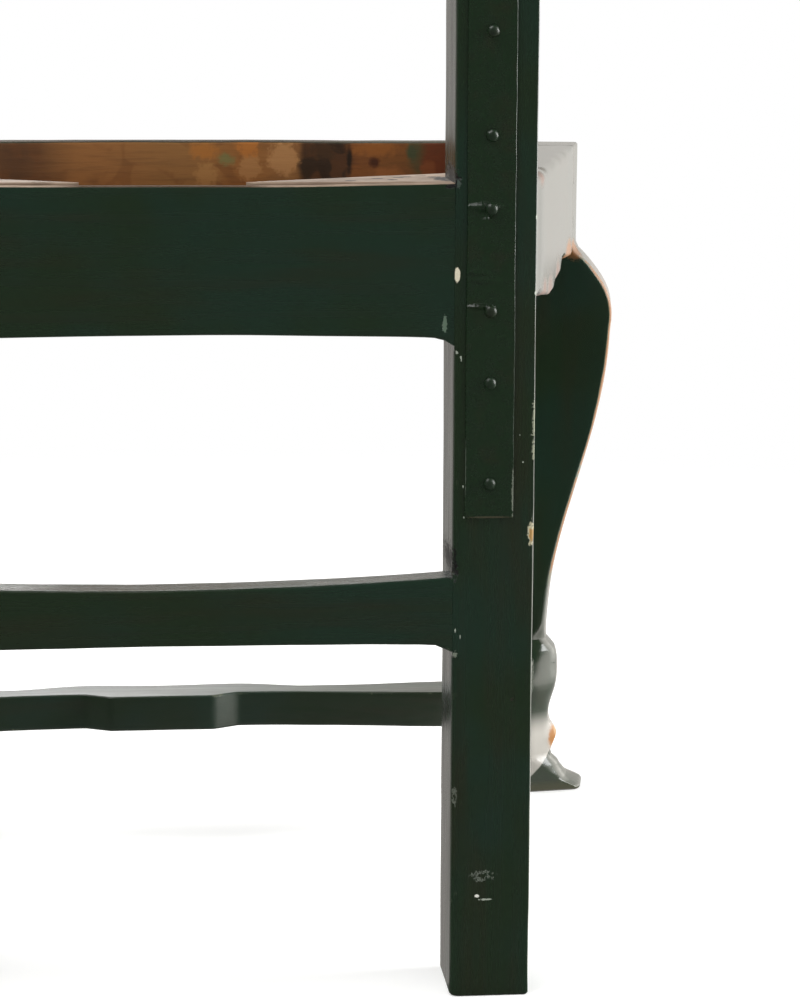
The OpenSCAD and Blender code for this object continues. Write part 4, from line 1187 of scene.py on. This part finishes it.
# Wear of the front leg, in metres: the knee's rubbed arris and pale outer face, the shaft's dusty
# ground from a sloping crease up, which is also a painted reflection of the bright side, and the sole's
# dirty edge

KNEE_ARRIS = ((0.13, 0.16), (0.37, 0.35))
KNEE_FACE = ((0.12, 0.16), (0.37, 0.35))
CREASE_AT = 0.247
CREASE_SLOPE = 1.18
CREASE_Z = 0.0135
CREASE_RISE = (-0.0005, 0.0015)
SHAFT_END = (0.058, 0.040)
SOLE_END = (0.010, 0.002)


def leg_sides(g, place):
    """How far a point of a leg faces outward and rearward, from -1 to 1 each, and where it is."""
    spot = g.split(place)
    normal = g.split(g.coordinate("Normal"))
    return g.times(normal[0], g.math("SIGN", spot[0])), normal[1], spot


def leg_arris(g, place, edge):
    """Wear of the leg: the rear outer arris of the knee is rubbed to the wood, others much less."""
    outward, rear, spot = leg_sides(g, place)
    knee = g.band(spot[2], *KNEE_ARRIS)
    worn = g.times(g.step(outward, 0.12, 0.45), g.step(rear, 0.02, 0.3), knee)
    return g.times(edge, g.plus(g.times(worn, 0.55), 0.58))


def leg_tint(g, place, colour):
    """The shaft over the foot is rubbed to a pale dusty ground on its rear and outer sides, painted paler
    as a reflection of the bright side that these sides face.
    """
    outward, rear, spot = leg_sides(g, place)
    out = g.math("ABSOLUTE", spot[0])
    crease = g.plus(g.times(g.minus(out, CREASE_AT), CREASE_SLOPE), CREASE_Z)
    above = g.step(g.minus(spot[2], crease), *CREASE_RISE)
    # painted reflection: the sides turned towards the camera and the bright side light are painted pale
    facing = g.step(g.plus(rear, outward), 0.2, 0.8)
    pale = g.times(above, g.step(spot[2], *SHAFT_END), facing)
    colour = g.mix(g.times(pale, 0.85), colour, SHAFT_DUST_AND_SHEEN)
    sole = g.times(g.step(spot[2], *SOLE_END), g.step(rear, 0.3, 0.8))
    colour = g.mix(g.times(sole, 0.5), colour, SOLE_DIRT)
    knee = g.times(g.step(outward, 0.6, 0.95), g.band(spot[2], *KNEE_FACE))
    return g.mix(g.times(knee, 0.3), colour, PINKISH)


# Bare wood at the knee's top and on the spurs

SPUR_WOOD = (150, 98, 34)
SPUR_LIGHT = (170, 140, 92)
LEG_MARKS = (
    ((-268.5, -205.0, 363.0), (7.0, 22.0, 6.0), KNEE_ORANGE, 0.2, 0.4, 1.0),
    ((-262.8, -213.5, 37.0), (6.2, 9.0, 8.2), SPUR_WOOD, 0.3, 0.3, 0.7),
    ((-265.4, -214.5, 41.0), (3.4, 9.0, 3.6), SPUR_LIGHT, 0.3, 0.4, 0.7),
    ((262.8, -213.5, 37.0), (5.2, 9.0, 7.2), SPUR_WOOD, 0.3, 0.3, 1.6),
)


RAIL_EDGE_Y = (-193.0, -160.0, -111.0, -87.0, -74.0, -50.0, -21.0, -8.0, 23.0, 50.0, 76.0, 101.0, 124.0)
RAIL_EDGE_LIFT = (1.0, 3.0, 9.0, 8.6, 1.4, 0.7, 0.6, -3.0, -3.0, 0.3, 4.0, 9.0, 3.0)
SIDE_RAIL_LOW = 359.0
SIDE_RAIL_OUT_AT = 225.4
EDGE_DEPTH = 10.0
EDGE_TALL = 16.0


def chipped_edge(place):
    """Lifts the side rail's outer lower arris where it is chipped away."""
    outer = SIDE_RAIL_OUT_AT - place[1] * math.tan(math.radians(PLAN_TURN))
    near = unit(1.0 - (outer - abs(place[0])) / EDGE_DEPTH)
    low = unit(1.0 - (place[2] - SIDE_RAIL_LOW) / EDGE_TALL)
    lift = curve(place[1], RAIL_EDGE_Y, RAIL_EDGE_LIFT)
    return np.array((place[0], place[1], place[2] + lift * near * low))


def side_rail_easing(sign):
    """The outer top arris is rubbed broad, less so where it meets the leg."""

    def radii(station):
        top = curve(station, (-190.0, -130.0), (1.2, 5.0))
        return (1.8, 1.8, 2.4, top) if sign < 0 else (top, 2.4, 1.8, 1.8)

    return radii


def side_rail_softness(station):
    """Blends the pared rear end into the straight side."""
    return 0.5 if 80.0 < station < 132.0 else 0.0


# Bare patches along the outer arrises of the photographed side rail

SIDE_RAIL_MARKS = (
    ((-219.0, 16.0, 358.5), (7.0, 30.0, 9.0), RAIL_PINK, 0.3, 0.5, 1.6),
    ((-210.0, 68.0, 362.0), (7.0, 20.0, 8.0), RAIL_PINK, 0.3, 0.5, 1.6),
    ((-236.0, -45.0, 361.0), (7.0, 22.0, 9.0), RAIL_PINK, 0.3, 0.5, 1.6),
    ((-258.0, -160.0, 363.0), (10.0, 44.0, 9.5), KNEE_ORANGE, 0.3, 0.4, 1.2),
    ((-205.0, 92.0, 427.0), (5.0, 12.0, 4.0), RAIL_PINK, 0.0, 0.8, 0.8),
    ((-212.0, 56.0, 431.0), (5.0, 9.0, 2.5), (52, 44, 24), 0.0, 0.8, 0.8),
)


def build():
    upright = paint("paint_posts", "z", wear=0.22, seed=0.0, marks=POST_MARKS)
    cross = paint("paint_rails", "x", wear=0.20, seed=1.3, marks=RAIL_MARKS)
    depthwise = paint("paint_side_rails", "y", wear=0.28, seed=2.1, relief=0.05, worn=RAIL_PINK,
                      marks=SIDE_RAIL_MARKS)
    leg = paint("paint_legs", "z", wear=0.54, seed=3.7, relief=0.35, worn=ORANGE, arris=leg_arris,
                marks=LEG_MARKS, tint=leg_tint)
    low = paint("paint_stretchers", "x", wear=0.26, seed=4.9, marks=STRETCHER_MARKS)
    middle = paint("paint_middle_stretcher", "x", wear=0.26, seed=4.9, shine=0.32)
    low_side = paint("paint_side_stretchers", "y", wear=0.34, seed=5.9)
    back = paint("paint_back", "z", wear=0.30, seed=6.3)
    board = bare_wood("dusty_boards_painted_sheen", "x", 7.7, board_dust_and_sheen, BOARD_MARKS, dull=0.6, gloss=0.25)
    wood_x = bare_wood("bare_wood_rails", "x", 0.4)
    wood_front = bare_wood("bare_wood_front_rail", "x", 0.4, front_rail_tones, FRONT_RAIL_MARKS, gloss=0.2)
    wood_y = bare_wood("bare_wood_side_rails", "y", 2.2)
    rear_top = bare_wood("rubbed_rear_rail_top_with_sheen", "x", 3.1, rear_top_wear_and_sheen, BOARD_MARKS,
                         dull=0.75, gloss=0.1)
    front_top = bare_wood("rubbed_front_rail_top", "x", 3.1, front_top_tones, dull=0.75, gloss=0.15)
    block = bare_wood("bare_wood_blocks", "x", 5.2)
    strap = iron("painted_strap", True, 0.5, STRAP_MARKS)
    nail = iron("painted_nails", True, 3.5, wear=0.0, shine=0.34)
    rusty = iron("bare_nails", False, 1.5)

    for side, sign in SIDES.items():
        seed = 1.0 if sign < 0 else 2.0
        carve("rear_post_" + side, "z", [upright], radius=post_easing(sign), seed=seed, more=JOINT_STATIONS)
        carve("front_leg_" + side, "z", [leg], radius=leg_easing, spacing=4.0, turn=sign * PLAN_TURN,
              faces=8, seed=seed + 10, more=LEG_STATIONS, smooth=leg_softness, passes=10,
              shape=leg_shape, rub=leg_rub)
        carve("side_rail_" + side, "y", [depthwise, wood_y], radius=side_rail_easing(sign), spacing=4.0,
              rough=0.12, seed=seed + 20, pick=bare_faces("x", -sign), shape=chipped_edge,
              smooth=side_rail_softness, passes=16)
        carve("side_stretcher_" + side, "y", [low_side], radius=2.0, seed=seed + 30)
        carve("knee_bracket_" + side, "x", [leg], radius=1.2, spacing=3.0, seed=seed + 40)
        carve("corner_board_" + side, "x", [board], radius=1.0, spacing=4.0, seed=seed + 50, shape=thin_end)
        carve("corner_block_" + side, "x", [block], "bare_wood", radius=1.0, spacing=4.0, seed=seed + 60)
        carve("seat_cleat_" + side, "y", [block], "bare_wood", radius=0.8, spacing=10.0, seed=seed + 70)
        carve("iron_strap_" + side, "z", [strap], "painted_iron", radius=0.75, spacing=3.5, rough=0.3,
              seed=seed + 80, lead=0.8)
        make_nail_heads("strap_nails_" + side, nail, seed)

    make_rear_rail([cross, wood_x, rear_top])
    carve("front_rail", "x", [cross, wood_front, front_top], radius=1.8, seed=4.0,
          pick=bare_faces("y", 1.0, top=True))
    carve("rear_stretcher", "x", [low], radius=1.8, seed=5.0, span=post_gap())
    carve("middle_stretcher", "x", [middle], radius=1.6, spacing=3.0, seed=6.0)
    carve("lower_back_rail", "x", [back], radius=1.8, seed=7.0)
    carve("crest_rail", "x", [back], radius=2.4, spacing=3.0, seed=8.0)
    carve("splat", "z", [back], radius=1.6, spacing=3.5, seed=9.0)
    carve("seat_cleat_front", "x", [block], "bare_wood", radius=0.8, spacing=10.0, seed=9.5)

    make_short_pegs("stretcher_pegs", leg)
    dressed = {"seat_rail_pegs": cross, "back_pegs": back, "board_nails": nail, "cleat_nails": rusty}
    for node, material in dressed.items():
        dress_cad(node, material)


bpy.context.scene.view_settings.view_transform = "Standard"
make_camera()
make_world()
make_floor()
make_lights()
build()
